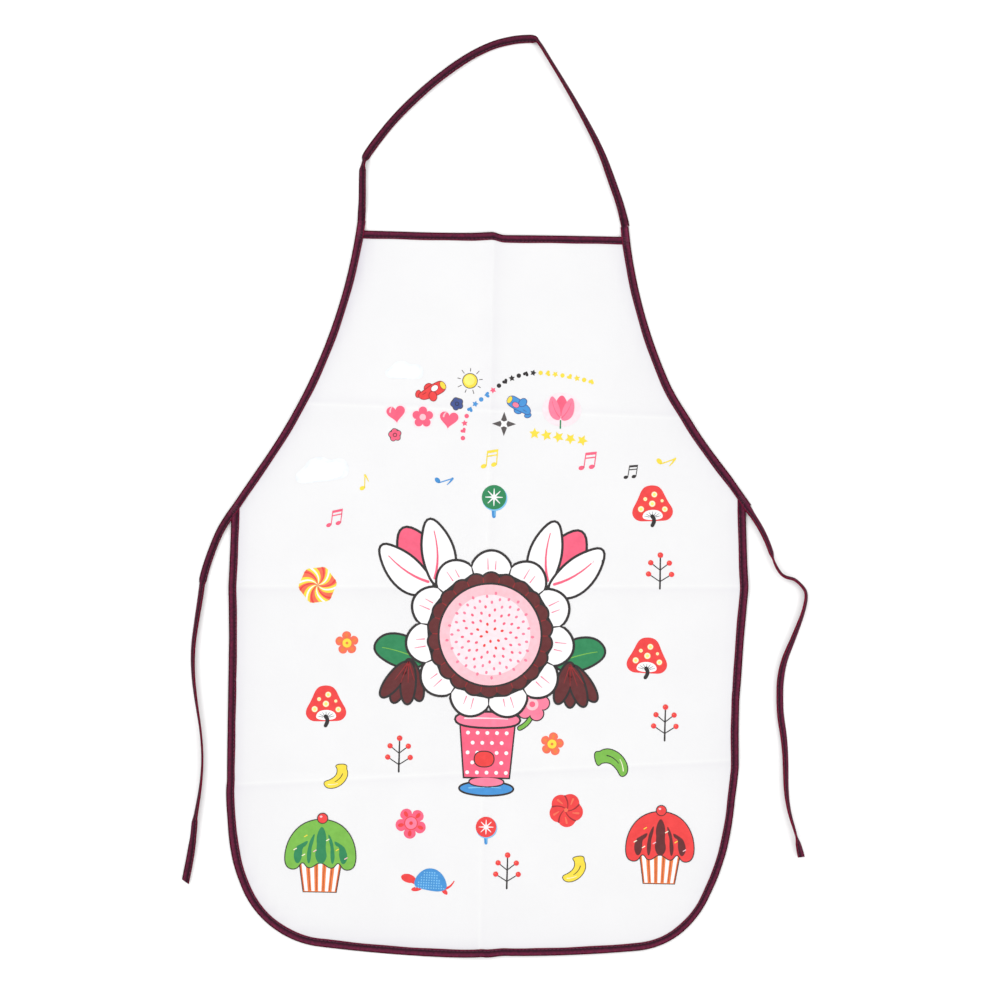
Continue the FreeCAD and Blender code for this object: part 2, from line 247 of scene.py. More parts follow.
def arm_geometry():
    """Start, heading, radius and turn of the armhole's arc, which runs into its straight end."""
    end = Vector((HALF, WAIST_Y)) - ahead(ARM_ANGLE - 90) * ARM_STRAIGHT
    start = Vector((BIB_HALF, BIB_Y))
    chord = end - start
    chord_angle = math.degrees(math.atan2(chord.x, -chord.y))
    half_turn = ARM_ANGLE - chord_angle
    radius = chord.length / (2 * math.sin(math.radians(half_turn)))
    return start, chord_angle - half_turn - 90, radius, 2 * half_turn


def arm_path(before, after):
    start, heading, radius, turn = arm_geometry()
    first = start - ahead(heading) * before
    return walk(first, heading, [before, (radius, -turn), ARM_STRAIGHT + after])


def skirt_path():
    side, corner = math.radians(SIDE_TURN), math.radians(SIDE_TURN + CORNER_TURN)
    taken = SIDE_RADIUS * (1 - math.cos(side)) + CORNER_RADIUS * (math.cos(side) - math.cos(corner))
    hem_radius = (HALF - taken) / math.cos(corner)
    drop = SIDE_RADIUS * math.sin(side) + CORNER_RADIUS * (math.sin(corner) - math.sin(side))
    drop += hem_radius * (1 - math.sin(corner))
    hem_turn = 90 - SIDE_TURN - CORNER_TURN
    straight = WAIST_Y - HEM_Y - drop
    runs = [straight, (SIDE_RADIUS, SIDE_TURN), (CORNER_RADIUS, CORNER_TURN), (hem_radius, hem_turn)]
    return walk((HALF, WAIST_Y), -90, runs)


def mirrored(path):
    return [(Vector((-p.x, p.y)), Vector((-n.x, n.y))) for p, n in path]


# ------------------------------------------------------------------ building
def added(name, data):
    """A new object in the scene."""
    made = bpy.data.objects.new(name, data)
    bpy.context.scene.collection.objects.link(made)
    return made


def select_only(piece):
    bpy.ops.object.select_all(action="DESELECT")
    piece.select_set(True)
    bpy.context.view_layer.objects.active = piece


def piece_of(name, verts, faces, material):
    mesh = bpy.data.meshes.new(name)
    mesh.from_pydata([tuple(v) for v in verts], [], faces)
    mesh.materials.append(material)
    return added(name, mesh)


def outward(piece):
    shape = bmesh.new()
    shape.from_mesh(piece.data)
    bmesh.ops.recalc_face_normals(shape, faces=shape.faces)
    shape.to_mesh(piece.data)
    shape.free()
    return piece


def smooth(piece, angle=40):
    select_only(piece)
    bpy.ops.object.shade_smooth_by_angle(angle=math.radians(angle))
    piece.select_set(False)
    return piece


def stand_for(piece, slot, *nodes):
    """The piece stands for those parts, which are hidden. The slot is not used."""
    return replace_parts(piece, *nodes)


def skin(name, rings, along, across, material):
    """A closed skin through rings of points. Its map holds the place along and across the tape."""
    count, size = len(rings), len(rings[0])
    verts = [p for ring in rings for p in ring]
    faces = []
    for i in range(count - 1):
        for k in range(size):
            j = (k + 1) % size
            faces.append((i * size + k, i * size + j, (i + 1) * size + j, (i + 1) * size + k))
    faces.append(tuple(range(size)))
    faces.append(tuple(range((count - 1) * size, count * size)))
    piece = piece_of(name, verts, faces, material)
    layer = piece.data.uv_layers.new(name="UVMap")
    for loop in piece.data.loops:
        row, column = divmod(loop.vertex_index, size)
        layer.data[loop.index].uv = (along[row], across[column])
    return smooth(outward(piece))


def tape_section(half, gap, dimple=0.0, width=TAPE):
    """Across the folded tape: place from the fold, and height. Round fold, stitched groove, open slot."""
    share = width / TAPE
    places = [0.06, 0.22, 0.55, 1.3, 2.6, 3.8, 4.35, 4.8, 5.25, 5.7, 5.95]
    heights = [0.42, 0.74, 0.95, 1.04, 1.08, 1.05, 0.98, 0.84 - dimple, 0.97, 0.97, 0.86]
    top = [(a * share * 0.001, b * half) for a, b in zip(places, heights)]
    top += [(0.00600 * share, (half * 0.8 + gap) / 2), (0.00590 * share, gap)]
    top += [(0.0008, gap), (0.00058, gap * 0.6)]
    bottom = [(a, -b) for a, b in reversed(top)]
    return [(0.0, 0.0)] + top + [(0.00050, 0.0)] + bottom


def distances(path):
    total, found = 0.0, [0.0]
    for (a, _), (b, _) in zip(path, path[1:]):
        total += (b - a).length
        found.append(total)
    return found


def binding(name, path, profile, material):
    """Tape folded over an edge. The profile lists distance, half height and half slot."""
    stops, halves, gaps = zip(*profile)
    rings = []
    along = distances(path)
    for i, ((at, inward), far) in enumerate(zip(path, along)):
        width = TAPE * (1 + 0.018 * math.sin(far / 0.0061) + 0.012 * math.sin(far / 0.0173 + 1.1))
        dimple = 0.10 if i % 2 else 0.0
        section = tape_section(np.interp(far, stops, halves), np.interp(far, stops, gaps), dimple, width)
        rings.append([(at.x + inward.x * s, at.y + inward.y * s, FILM_MIDDLE + z) for s, z in section])
    across = [s for s, z in tape_section(BOUND, FILM)]
    return lay(skin(name, rings, along, across, material))


def lighter_tape_end(piece, reach):
    """The first stretch of a tape takes a lighter copy of its finish."""
    piece.data.materials.append(LIGHTER_END_CLOTH)
    layer = piece.data.uv_layers["UVMap"].data
    for face in piece.data.polygons:
        if max(layer[i].uv.x for i in face.loop_indices) < reach:
            face.material_index = 1
    return piece


def stitch_shape():
    """One stitch along X, lying on Z 0, with rounded ends that dip into the tape."""
    bpy.ops.mesh.primitive_uv_sphere_add(segments=8, ring_count=6, radius=0.5, location=(0, 0, 0))
    ball = bpy.context.object
    bpy.ops.object.mode_set(mode="EDIT")
    bpy.ops.mesh.select_all(action="SELECT")
    bpy.ops.transform.resize(value=(1.0, 0.36, 0.30))
    bpy.ops.object.mode_set(mode="OBJECT")
    verts = [tuple(v.co) for v in ball.data.vertices]
    faces = [tuple(f.vertices) for f in ball.data.polygons]
    bpy.data.objects.remove(ball)
    squared = []
    for x, y, z in verts:
        reach = abs(2 * x) ** 0.6 / 2
        squared.append((math.copysign(reach, x), y, z - 0.10 * (2 * x) ** 2))
    return squared, faces


STITCH = stitch_shape()


def stitches(name, places, material, size=0.0025, thick=0.00095):
    """Copies of the one stitch. A place is a middle, a direction along, and one upwards."""
    verts, faces = [], []
    for middle, along, up in places:
        side = up.cross(along).normalized()
        base = len(verts)
        for x, y, z in STITCH[0]:
            verts.append(middle + along * x * size + side * y * thick + up * z * thick)
        faces += [tuple(base + i for i in f) for f in STITCH[1]]
    return smooth(outward(piece_of(name, verts, faces, material)), 60)


def seam_places(path, half, offset=SEAM):
    """A stitch at every second point of a path, on the tape's upper and lower side."""
    places = []
    for i in range(1, len(path) - 1, 2):
        (before, _), (at, inward), (after, _) = path[i - 1], path[i], path[i + 1]
        along = (after - before).normalized().to_3d()
        spot = (at + inward * offset).to_3d()
        for up in (1, -1):
            middle = spot + Vector((0, 0, FILM_MIDDLE + up * half * 0.90))
            places.append((middle, along, Vector((0, 0, up))))
    return places


# ------------------------------------------------------------------ finishes
def linear(colour, light=1.72):
    """A colour from 0 to 255, as seen under a light of that strength, as the surface's own."""
    shares = [((c / 255 + 0.055) / 1.055) ** 2.4 / light if c > 10 else c / 255 / 12.92 for c in colour]
    return (*shares, 1.0)


class Finish:
    """A material and short ways to wire its nodes."""

    def __init__(self, name):
        self.material = bpy.data.materials.new(name)
        self.material.use_nodes = True
        self.nodes = self.material.node_tree.nodes
        self.shader = self.nodes["Principled BSDF"]

    def give(self, socket, value):
        """A socket takes what another gives, or a plain value of its own."""
        if isinstance(value, bpy.types.NodeSocket):
            self.material.node_tree.links.new(value, socket)
        else:
            socket.default_value = value

    def node(self, kind, **values):
        made = self.nodes.new(kind)
        for key, value in values.items():
            if key in made.inputs:
                self.give(made.inputs[key], value)
            else:
                setattr(made, key, value)
        return made

    def coordinates(self, kind="Object"):
        return self.node("ShaderNodeTexCoord").outputs[kind]

    def split(self, place):
        return self.node("ShaderNodeSeparateXYZ", Vector=place).outputs

    def ramp(self, source, stops):
        made = self.node("ShaderNodeValToRGB", Fac=source)
        elements = made.color_ramp.elements
        while len(elements) < len(stops):
            elements.new(0.5)
        for element, (place, colour) in zip(elements, stops):
            element.position = place
            element.color = colour
        return made.outputs[0]

    def math(self, operation, *values):
        made = self.node("ShaderNodeMath", operation=operation)
        for socket, value in zip(made.inputs, values):
            self.give(socket, value)
        return made.outputs[0]

    def mix(self, way, share, first, second):
        made = self.node("ShaderNodeMixRGB", blend_type=way)
        for socket, value in zip(made.inputs, (share, first, second)):
            self.give(socket, value)
        return made.outputs[0]

    def surface(self, colour, roughness, specular=0.5):
        self.give(self.shader.inputs["Base Color"], colour)
        self.shader.inputs["Roughness"].default_value = roughness
        self.shader.inputs["Specular IOR Level"].default_value = specular

    def bump(self, height, strength, distance):
        made = self.node("ShaderNodeBump", Strength=strength, Distance=distance, Height=height)
        self.give(self.shader.inputs["Normal"], made.outputs[0])


def tape_finish(name, tone=1.0):
    """Woven binding: painted shade on its round fold and beside its stitched groove, a painted highlight
    along its crown, fine ribs across, a little fibre fuzz.
    """
    f = Finish(name)
    uv = f.coordinates("UV")
    # Across the tape: painted shade on the round fold and beside the stitched groove, a painted highlight
    # along the crown, and a redder open edge.
    lit_and_shaded_tones = ((84, 8, 34), (124, 48, 78), (106, 40, 66), (66, 30, 46), (132, 16, 52))
    fold, light, mid, dark, edge = (linear([c * tone for c in rgb]) for rgb in lit_and_shaded_tones)
    stops = [
        (0.0, fold), (0.12, fold), (0.22, light), (0.46, mid),
        (0.62, dark), (0.78, dark), (0.88, mid), (0.96, edge),
    ]
    across = f.ramp(f.math("MULTIPLY", f.split(uv)["Y"], 1 / TAPE), stops)
    slanted = (0, 0, math.radians(38))
    grid = f.node("ShaderNodeMapping", Vector=uv, Scale=(1 / 0.0007, 1 / 0.0005, 1), Rotation=slanted)
    ribs = f.node("ShaderNodeTexWave", Vector=grid.outputs[0], Scale=0.24, Distortion=1.6, Detail=1.5)
    fuzz = f.node("ShaderNodeTexNoise", Vector=f.coordinates(), Scale=620.0, Detail=3.0)
    rib_tones = f.ramp(ribs.outputs["Color"], [(0.2, (0.50, 0.44, 0.48, 1)), (0.8, (1.38, 1.28, 1.34, 1))])
    specks = f.ramp(fuzz.outputs[0], [
        (0.34, (0.55, 0.72, 0.70, 1)), (0.46, (0.90, 0.95, 0.95, 1)),
        (0.56, (1.15, 0.85, 0.95, 1)), (0.68, (1.45, 1.25, 1.30, 1)),
    ])
    ribbed = f.mix("MULTIPLY", 0.45, across, rib_tones)
    f.surface(f.mix("MULTIPLY", 0.75, ribbed, specks), 0.82, 0.08)
    f.bump(ribs.outputs["Color"], 0.35, 0.0001)
    return f.material


def thread_finish():
    f = Finish("thread")
    noise = f.node("ShaderNodeTexNoise", Vector=f.coordinates(), Scale=1500.0, Detail=2.0)
    stops = [(0.3, linear((88, 26, 52))), (0.7, linear((128, 52, 86)))]
    f.surface(f.ramp(noise.outputs[0], stops), 0.55)
    f.bump(noise.outputs[0], 0.3, 0.00005)
    return f.material


def film_finish():
    """Frosted film, hardly tinted, with painted shade where it meets the tape and beside its creases, whiter
    along the creases, and a fine leathery grain.
    """
    f = Finish("frosted_film")
    place = f.coordinates()
    cloud = f.node("ShaderNodeTexNoise", Vector=place, Scale=22.0, Detail=3.0)
    body = f.ramp(cloud.outputs[0], [(0.3, (0.768, 0.768, 0.770, 1)), (0.7, (0.786, 0.786, 0.786, 1))])
    # The shade attribute carries painted shade beside the tape and the lengthwise crease.
    tone = f.node("ShaderNodeAttribute", attribute_name="shade").outputs["Fac"]
    at = f.split(place)
    for middle, climb, painted_shade_side in CREASE_LINES:
        line = f.math("MULTIPLY_ADD", at["X"], -climb, -middle)
        away = f.math("ADD", line, at["Y"])
        # Beside each crease a band of painted shade on one side, and a whiter line along the crease itself.
        for shift, wide, amount in ((painted_shade_side, 0.003, 0.14), (0.0, 0.0012, -0.17)):
            gap = f.math("ABSOLUTE", f.math("ADD", away, shift))
            fade = f.math("POWER", math.e, f.math("MULTIPLY", gap, -1 / wide))
            tone = f.math("MULTIPLY_ADD", fade, amount, tone)
    # Mixes the film towards the grey-lilac colour of its painted shade.
    f.surface(f.mix("MIX", tone, body, (0.585, 0.565, 0.62, 1)), 0.42, 0.4)
    grain = f.node("ShaderNodeTexVoronoi", Vector=place, Scale=700.0)
    wrinkle = f.node("ShaderNodeTexNoise", Vector=place, Scale=60.0, Detail=4.0, Distortion=0.6)
    f.bump(f.math("MULTIPLY_ADD", grain.outputs["Distance"], 0.12, wrinkle.outputs[0]), 0.25, 0.0006)
    f.shader.inputs["Alpha"].default_value = 0.90
    return f.material


TAPE_CLOTH = tape_finish("maroon_tape")
# A lighter copy of the tape's finish, for the first stretch of each arm tape.
LIGHTER_END_CLOTH = tape_finish("maroon_tape_ends", 1.12)
LOOP_CLOTH = tape_finish("maroon_tape_loop", 0.90)
THREAD = thread_finish()
FROSTED = film_finish()


# ------------------------------------------------------------------ film
def inner_corner(corner, heading, turn, inset):
    back = inset * math.tan(math.radians(turn / 2))
    return Vector(corner) + right_of(heading) * inset - ahead(heading) * back


def film_outline(inset=FILM_EDGE):
    """The sheet's edge, from the middle of the hem round to the middle of the hem."""
    _, heading, _, _ = arm_geometry()
    top = inner_corner((BIB_HALF, BIB_Y), 0, -heading, inset)
    waist = inner_corner((HALF, WAIST_Y), ARM_ANGLE - 90, ARM_ANGLE, inset)
    arm = [p + n * inset for p, n in arm_path(0, 0)[2:-2:2]]
    skirt = [p + n * inset for p, n in skirt_path()[2::2]]
    half = [top, *arm, waist, *skirt]
    half[-1].x = 0.0
    return half + [Vector((-p.x, p.y)) for p in reversed(half[:-1])]


def grid_lines(low, high, creases, coarse=0.0075):
    """Places to cut a sheet so that it can bend: every few millimetres, and closer beside its creases."""
    lines = set(round(low + coarse * i, 5) for i in range(1, int((high - low) / coarse)))
    for crease in creases:
        lines = set(v for v in lines if abs(v - crease) > 0.020)
        near = [0.001, 0.0025, 0.0045, 0.007, 0.010, 0.0135, 0.0175]
        lines |= set(round(crease + d, 5) for d in [0.0] + near + [-d for d in near])
    return sorted(v for v in lines if low < v < high)


def cut_to_grid(shape):
    """Cuts the flat faces of a bmesh along the lines where the sheet may bend."""
    span = HALF + 0.001
    cuts = [((x, 0, 0), (1, 0, 0)) for x in grid_lines(-span, span, [0.0])]
    creases = [UPPER_CREASE, MIDDLE_CREASE, LOWER_CREASE]
    cuts += [((0, y, 0), (0, 1, 0)) for y in grid_lines(HEM_Y, BIB_Y, creases) + [UPPER_JOIN, LOWER_JOIN]]
    for at, way in cuts:
        geometry = shape.verts[:] + shape.edges[:] + shape.faces[:]
        bmesh.ops.bisect_plane(shape, geom=geometry, dist=1e-7, plane_co=at, plane_no=way)


def flat_piece(name, shape, low, high, finishes):
    """A piece from the faces of a bmesh whose middles lie between two places along the apron."""
    part = shape.copy()
    outside = [f for f in part.faces if not low <= f.calc_center_median().y < high]
    bmesh.ops.delete(part, geom=outside, context="FACES")
    mesh = bpy.data.meshes.new(name)
    part.to_mesh(mesh)
    part.free()
    for finish in finishes:
        mesh.materials.append(finish)
    return added(name, mesh)


ZONES = {
    "upper": (UPPER_JOIN, BIB_Y, ("waist", "bib"), UPPER_CREASE, 1),
    "middle": (LOWER_JOIN, UPPER_JOIN, ("waist", "lap"), MIDDLE_CREASE, -1),
    "lower": (HEM_Y, LOWER_JOIN, ("lap", "hem"), LOWER_CREASE, -1),
}


def bend_at(piece):
    """Bakes the piece's placement into its mesh."""
    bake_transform(piece)
    return piece


def sheet_solid(piece, thickness):
    """Gives the flat piece its thickness, half on each side."""
    select_only(piece)
    wall = piece.modifiers.new("wall", "SOLIDIFY")
    wall.thickness = thickness
    wall.offset = 0
    bpy.ops.object.modifier_apply(modifier="wall")
    piece.select_set(False)
    return piece


def crease_whitening_and_shade(x, y):
    """Painted shade beside the lengthwise crease, and whiter along it, where the film has stretched."""
    tone = 0.08 + 0.14 * math.exp(-abs(x - 0.001) / 0.006) * float(eased(y, 0.09, 0.15))
    tone += 0.07 * math.exp(-abs(x - 0.003) / 0.003) - 0.10 * math.exp(-abs(x) / 0.0012)
    return tone


def painted_edge_shade(x, y, edge):
    """Painted shade beside the tape, most of all on the bib and on the left."""
    gap = max(np.hypot(edge[:, 0] - x, edge[:, 1] - y).min() - TAPE, 0.0)
    strength = 0.35 + 0.65 * np.clip((y - 0.16) / 0.1, 0, 1)
    strength *= 1.0 if x < 0 else 0.5
    return strength * math.exp(-gap / 0.0042) + 0.10 * math.exp(-gap / 0.030)


def make_film():
    shape = bmesh.new()
    face = shape.faces.new([shape.verts.new((p.x, p.y, FILM_MIDDLE)) for p in film_outline()])
    # Rings of faces beside the tape carry the painted shade that fades away from it.
    for inset in (TAPE - FILM_EDGE, 0.003, 0.004, 0.006):
        bmesh.ops.inset_region(shape, faces=[face], thickness=inset, use_even_offset=True)
    cut_to_grid(shape)
    bmesh.ops.recalc_face_normals(shape, faces=shape.faces)
    if shape.faces[0].normal.z < 0:
        bmesh.ops.reverse_faces(shape, faces=shape.faces)
    edge = np.array([tuple(p) for p in film_outline(0.0)])
    stands_for = {"upper": ["film_bib", "film_waist"], "middle": ["film_lap"], "lower": ["film_hem"]}
    for zone, (low, high, bodies, crease, way) in ZONES.items():
        piece = flat_piece("film_" + zone, shape, low, high, [FROSTED])
        sheet_solid(piece, FILM)
        # The shade attribute holds painted shade beside the tape and beside the lengthwise crease.
        shade = piece.data.attributes.new("shade", "FLOAT", "POINT")
        for v, value in zip(piece.data.vertices, shade.data):
            value.value = float(painted_edge_shade(v.co.x, v.co.y, edge) + crease_whitening_and_shade(v.co.x, v.co.y))
        smooth(lay(piece), 30)
        stand_for(piece, "film", *stands_for[zone])
        bend_at(piece)
    shape.free()


# ------------------------------------------------------------------ bindings
FLAT_TAPE = [(0.0, BOUND, FILM)]
HEAD = 0.0080  # the armhole's tape stands past the bib's top edge
TAIL = 0.0070  # and runs on past the waist corner
CLEAR_OF_TOP = 0.0085  # from the bib's top edge to where the tape lies flat on the film alone
CLEAR_OF_SIDE = 0.0125  # and from the waist corner


def both_sides(path):
    return {"right": path, "left": mirrored(path)}


def make_bib_tape():
    reach = BIB_HALF - 0.0012
    path = walk((-reach, BIB_Y), 0, [2 * reach])
    tape = binding("bib_tape", path, FLAT_TAPE, TAPE_CLOTH)
    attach(stand_for(tape, "tape", "bib_binding"), "bib")
    inner = [(p, n) for p, n in path if abs(p.x) < BIB_HALF - CLEAR_OF_TOP]
    row = lay(stitches("bib_stitches", seam_places(inner, BOUND), THREAD))
    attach(stand_for(row, "thread", "bib_seam"), "bib")


def make_arm_tapes():
    """The long tape along both armholes, with a sleeve past each end and a pocket over the other tapes."""
    arm = arm_path(HEAD, TAIL)
    total = distances(arm)[-1]
    under = total - TAIL
    pocket = (CROSSING, BOUND * 1.05)
    sleeve_end = (STRAP * 0.9, 0.00002)
    profile = [
        (0.0, *sleeve_end), (0.0012, STRAP * 1.45, 0.00002), (HEAD - 0.0022, STRAP * 1.5, STRAP_SLOT),
        (HEAD - 0.0008, *pocket), (HEAD + 0.0062, *pocket), (HEAD + CLEAR_OF_TOP, BOUND, FILM),
        (under - CLEAR_OF_SIDE, BOUND, FILM), (under - 0.0105, *pocket), (under + 0.0008, *pocket),
        (under + 0.0030, STRAP * 1.45, STRAP_SLOT), (total - 0.0012, STRAP * 1.4, 0.00002),
        (total, *sleeve_end),
    ]
    for side, path in both_sides(arm).items():
        tape = lighter_tape_end(binding("arm_tape_" + side, path, profile, TAPE_CLOTH), HEAD + 0.004)
        low, high = HEAD + CLEAR_OF_TOP, under - CLEAR_OF_SIDE
        inner = [place for place, far in zip(path, distances(path)) if low < far < high]
        row = lay(stitches("arm_stitches_" + side, seam_places(inner, BOUND), THREAD))
        stand_for(tape, "tape", "arm_binding_upper_" + side, "arm_binding_lower_" + side)
        stand_for(row, "thread", "arm_seam_upper_" + side, "arm_seam_lower_" + side)
        for piece in (tape, row):
            bend_at(piece)


def make_skirt_tapes():
    """The tape down one side, round the hem and up the other side, in three pieces."""
    skirt = skirt_path()
    split = next(i for i, (p, _) in enumerate(skirt) if p.y <= LOWER_JOIN)
    for side, path in both_sides(skirt[: split + 1]).items():
        tape = binding("side_tape_" + side, path, FLAT_TAPE, TAPE_CLOTH)
        inner = [(p, n) for p, n in path if p.y < WAIST_Y - CLEAR_OF_SIDE]
        row = lay(stitches("side_stitches_" + side, seam_places(inner, BOUND), THREAD))
        stand_for(tape, "tape", "side_binding_upper_" + side, "side_binding_lower_" + side)
        stand_for(row, "thread", "side_seam_upper_" + side, "side_seam_lower_" + side)
        for piece in (tape, row):
            bend_at(piece)
    hem = mirrored(skirt[split:]) + skirt[split:-1][::-1]
    tape = stand_for(binding("hem_tape", hem, FLAT_TAPE, TAPE_CLOTH), "tape", "hem_binding")
    row = lay(stitches("hem_stitches", seam_places(hem, BOUND), THREAD))
    stand_for(row, "thread", "hem_seam")
    for piece in (tape, row):
        bend_at(piece)


def make_tacks():
    """Short rows of stitches that hold the crossings, square to the tape on top."""
    start, heading, _, _ = arm_geometry()
    spots = {
        "bib": (start + right_of(heading) * TAPE / 2 + ahead(heading) * TAPE / 2, heading),
        "waist": (Vector((HALF, WAIST_Y)) + right_of(ARM_ANGLE - 90) * TAPE / 2, ARM_ANGLE - 90),
    }
    for body, (middle, way) in spots.items():
        for side, sign in (("right", 1), ("left", -1)):
            places = []
            for i in range(6):
                at = middle + ahead(way) * (i - 2.5) * 0.0011
                across = right_of(way + (8 if i % 2 else -8))
                spot = Vector((sign * at.x, at.y, FILM_MIDDLE + CROSSING * 1.08))
                places.append((spot, Vector((sign * across.x, across.y, 0)), Vector((0, 0, 1))))
            row = lay(stitches(f"tack_{body}_{side}", places, THREAD, size=0.0042))
            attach(stand_for(row, "thread", f"bar_tack_{body}_{side}"), body)


# ------------------------------------------------------------------ straps
LOOP_HELD = HEAD * 0.6  # a sleeve keeps the loop flat this far from its root
LOOP_RISE = 0.008  # and it takes its full lean this much further on
TIE_RISE = 0.016  # a tie takes its full lean this far from its root


def route_points(route):
    """Points of the smooth line that a strap's middle follows."""
    data = bpy.data.curves.new("route", "CURVE")
    data.dimensions = "3D"
    data.resolution_u = 12
    spline = data.splines.new("NURBS")
    spline.points.add(len(route) - 1)
    for point, (x, y) in zip(spline.points, route):
        point.co = (x, y, 0, 1)
    spline.order_u = 3
    spline.use_endpoint_u = True
    line = added("route", data)
    bpy.context.view_layer.update()
    mesh = bpy.data.meshes.new_from_object(line)
    points = [Vector((v.co.x, v.co.y)) for v in mesh.vertices]
    bpy.data.objects.remove(line)
    bpy.data.meshes.remove(mesh)
    return points


def even(points, step):
    """The same line with evenly spaced points, and how far along it each lies."""
    total = np.concatenate([[0], np.cumsum([(b - a).length for a, b in zip(points, points[1:])])])
    count = max(2, round(total[-1] / step))
    places = np.linspace(0, total[-1], count + 1)
    xs = np.interp(places, total, [p.x for p in points])
    ys = np.interp(places, total, [p.y for p in points])
    return [Vector((x, y)) for x, y in zip(xs, ys)], places


def strap_line(route, lean, side, loop):
    """How a folded tape lies along its route, leaning more or less onto its edge.

    Each entry holds the distance from the root, the middle, the directions along, across and up, and half the
    height. With a side of 1 the open edges lie to the right of the route, and with -1 to the left. A loop is
    held at both ends, and a tie at its one root.
    """
    points, places = even(route_points(route), STEP)
    end = places[-1]
    root_height = FILM_MIDDLE + float(lift(np.array(route[0][0]), np.array(route[0][1])))
    stops, leans = zip(*lean)
    line = []
    for before, p, after, far in zip(points[:1] + points, points, points[1:] + points[-1:], places):
        along = (after - before).normalized()
        inward = (Vector((along.y, -along.x)) * side).to_3d()
        if loop:
            free = eased(min(far, end - far), LOOP_HELD, LOOP_HELD + LOOP_RISE)
        else:
            free = eased(far, 0.0, TIE_RISE)
        angle = math.radians(np.interp(far, stops, leans)) * free
        on_table = TAPE / 2 * math.sin(angle) + STRAP * math.cos(angle)
        rest = on_table + 0.0001 + 0.0006 * (1 + math.sin(far / 0.019 + len(route)))
        height = max(root_height + (rest - root_height) * free, on_table)
        across = inward * math.cos(angle) + Vector((0, 0, math.sin(angle)))
        up = Vector((0, 0, math.cos(angle))) - inward * math.sin(angle)
        half = STRAP * (1 + 0.5 * math.sin(angle))
        line.append((far, Vector((p.x, p.y, height)), along.to_3d(), across, up, half))
    return line


def strap_seam(line, last):
    """A stitch at every second point of a strap's line, up to the last place, on both faces of the tape."""
    places = []
    for before, (far, middle, _, across, up, half), after in list(zip(line, line[1:], line[2:]))[::2]:
        if 0.006 <= far <= last:
            along = (after[1] - before[1]).normalized()
            for way in (1, -1):
                spot = middle + across * (SEAM - TAPE / 2) + up * way * half * 0.9
                places.append((spot, along, up * way))
    return places


def strap(name, route, lean, side, cloth, loop=False, slant=0.0):
    """A folded tape along its route, its stitches and its middle line. A tie's free end is cut at a slant."""
    line = strap_line(route, lean, side, loop)
    places, middles = [entry[0] for entry in line], [entry[1] for entry in line]
    end = places[-1]
    rings = []
    for i, (far, middle, along, across, up, half) in enumerate(line):
        width = TAPE * (0.97 + 0.012 * math.sin(far / 0.0071) + 0.06 * loop * eased(far, 0.044, 0.060))
        section = tape_section(half, STRAP_SLOT, 0.08 if i % 2 else 0.0, width)
        cut = along * slant * max(0.0, 1 - (end - far) / TAPE)
        rings.append([middle + across * (s - TAPE / 2) + up * z + cut * (s / TAPE - 0.5) for s, z in section])
    across_map = [s for s, z in tape_section(STRAP, STRAP_SLOT)]
    tape = skin(name, rings, places, across_map, cloth)
    sewn = strap_seam(line, end - (0.006 if loop else 0.002))
    return tape, stitches(name.replace("strap", "stitches"), sewn, THREAD), middles


def make_neck_loop():
    tape, row, middles = strap("neck_strap", NECK_ROUTE, NECK_LEAN, 1, LOOP_CLOTH, loop=True)
    stand_for(tape, "tape", "neck_loop")
    stand_for(row, "thread", "neck_loop_seam")
    for piece in (tape, row):
        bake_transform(piece)


def make_tie(side, route, lean, way, cloth, slant):
    """A waist tie."""
    tape, row, middles = strap("tie_strap_" + side, route, lean, way, cloth, slant=slant)
    stand_for(tape, "tape", "tie_" + side)
    stand_for(row, "thread", f"tie_{side}_seam")
    for piece in (tape, row):
        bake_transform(piece)


# ------------------------------------------------------------------ print, in millimetres from the origin
INKS = {
    "black": (40, 35, 36), "grey": (86, 80, 80), "white": (251, 250, 251), "cream": (250, 243, 214),
    "red": (238, 62, 62), "dark_red": (150, 32, 36), "coral": (246, 112, 84), "orange": (240, 128, 62),
    "pink": (246, 96, 128), "rose": (250, 128, 158), "pale_pink": (252, 196, 206), "blush": (252, 230, 236),
    "yellow": (248, 222, 66), "pale_yellow": (252, 240, 120), "green": (38, 134, 84), "leaf": (122, 186, 72),
    "blue": (66, 146, 214), "sky": (126, 196, 238), "navy": (58, 78, 142), "brown": (98, 34, 36),
    "cloud": (240, 244, 248),
}
INK_FILM = 0.00002  # one coat of ink
COAT = 0.00004  # from one coat to the next
SEED_GAP = 3.35
GOLDEN_ANGLE = math.radians(137.508)


def ink_finish(name, colour):
    """Printing ink on film: a little uneven, with a soft shine."""
    f = Finish("ink_" + name)
    noise = f.node("ShaderNodeTexNoise", Vector=f.coordinates(), Scale=260.0, Detail=4.0)
    base = linear(colour, 1.25)[:3]
    thin = tuple(min(c * 1.05 + 0.006, 1.0) for c in base) + (1.0,)
    full = tuple(c * 0.95 for c in base) + (1.0,)
    f.surface(f.ramp(noise.outputs[0], [(0.32, full), (0.68, thin)]), 0.45, 0.3)
    f.bump(noise.outputs[0], 0.15, 0.0002)
    return f.material


def turned(points, at, turn, size=1.0):
    """Points turned by an angle in radians, scaled and moved."""
    c, s = math.cos(turn) * size, math.sin(turn) * size
    return [(at[0] + x * c - y * s, at[1] + x * s + y * c) for x, y in points]


def around(reach, angle, at=(0, 0)):
    """The point at that reach from another, in a direction in radians."""
    return (at[0] + reach * math.cos(angle), at[1] + reach * math.sin(angle))


def oval(rx, ry=None, at=(0, 0), turn=0.0):
    ry = ry or rx
    count = max(10, min(64, int(8 + 3.2 * max(rx, ry))))
    angles = [2 * math.pi * i / count for i in range(count)]
    return turned([(rx * math.cos(a), ry * math.sin(a)) for a in angles], at, math.radians(turn))


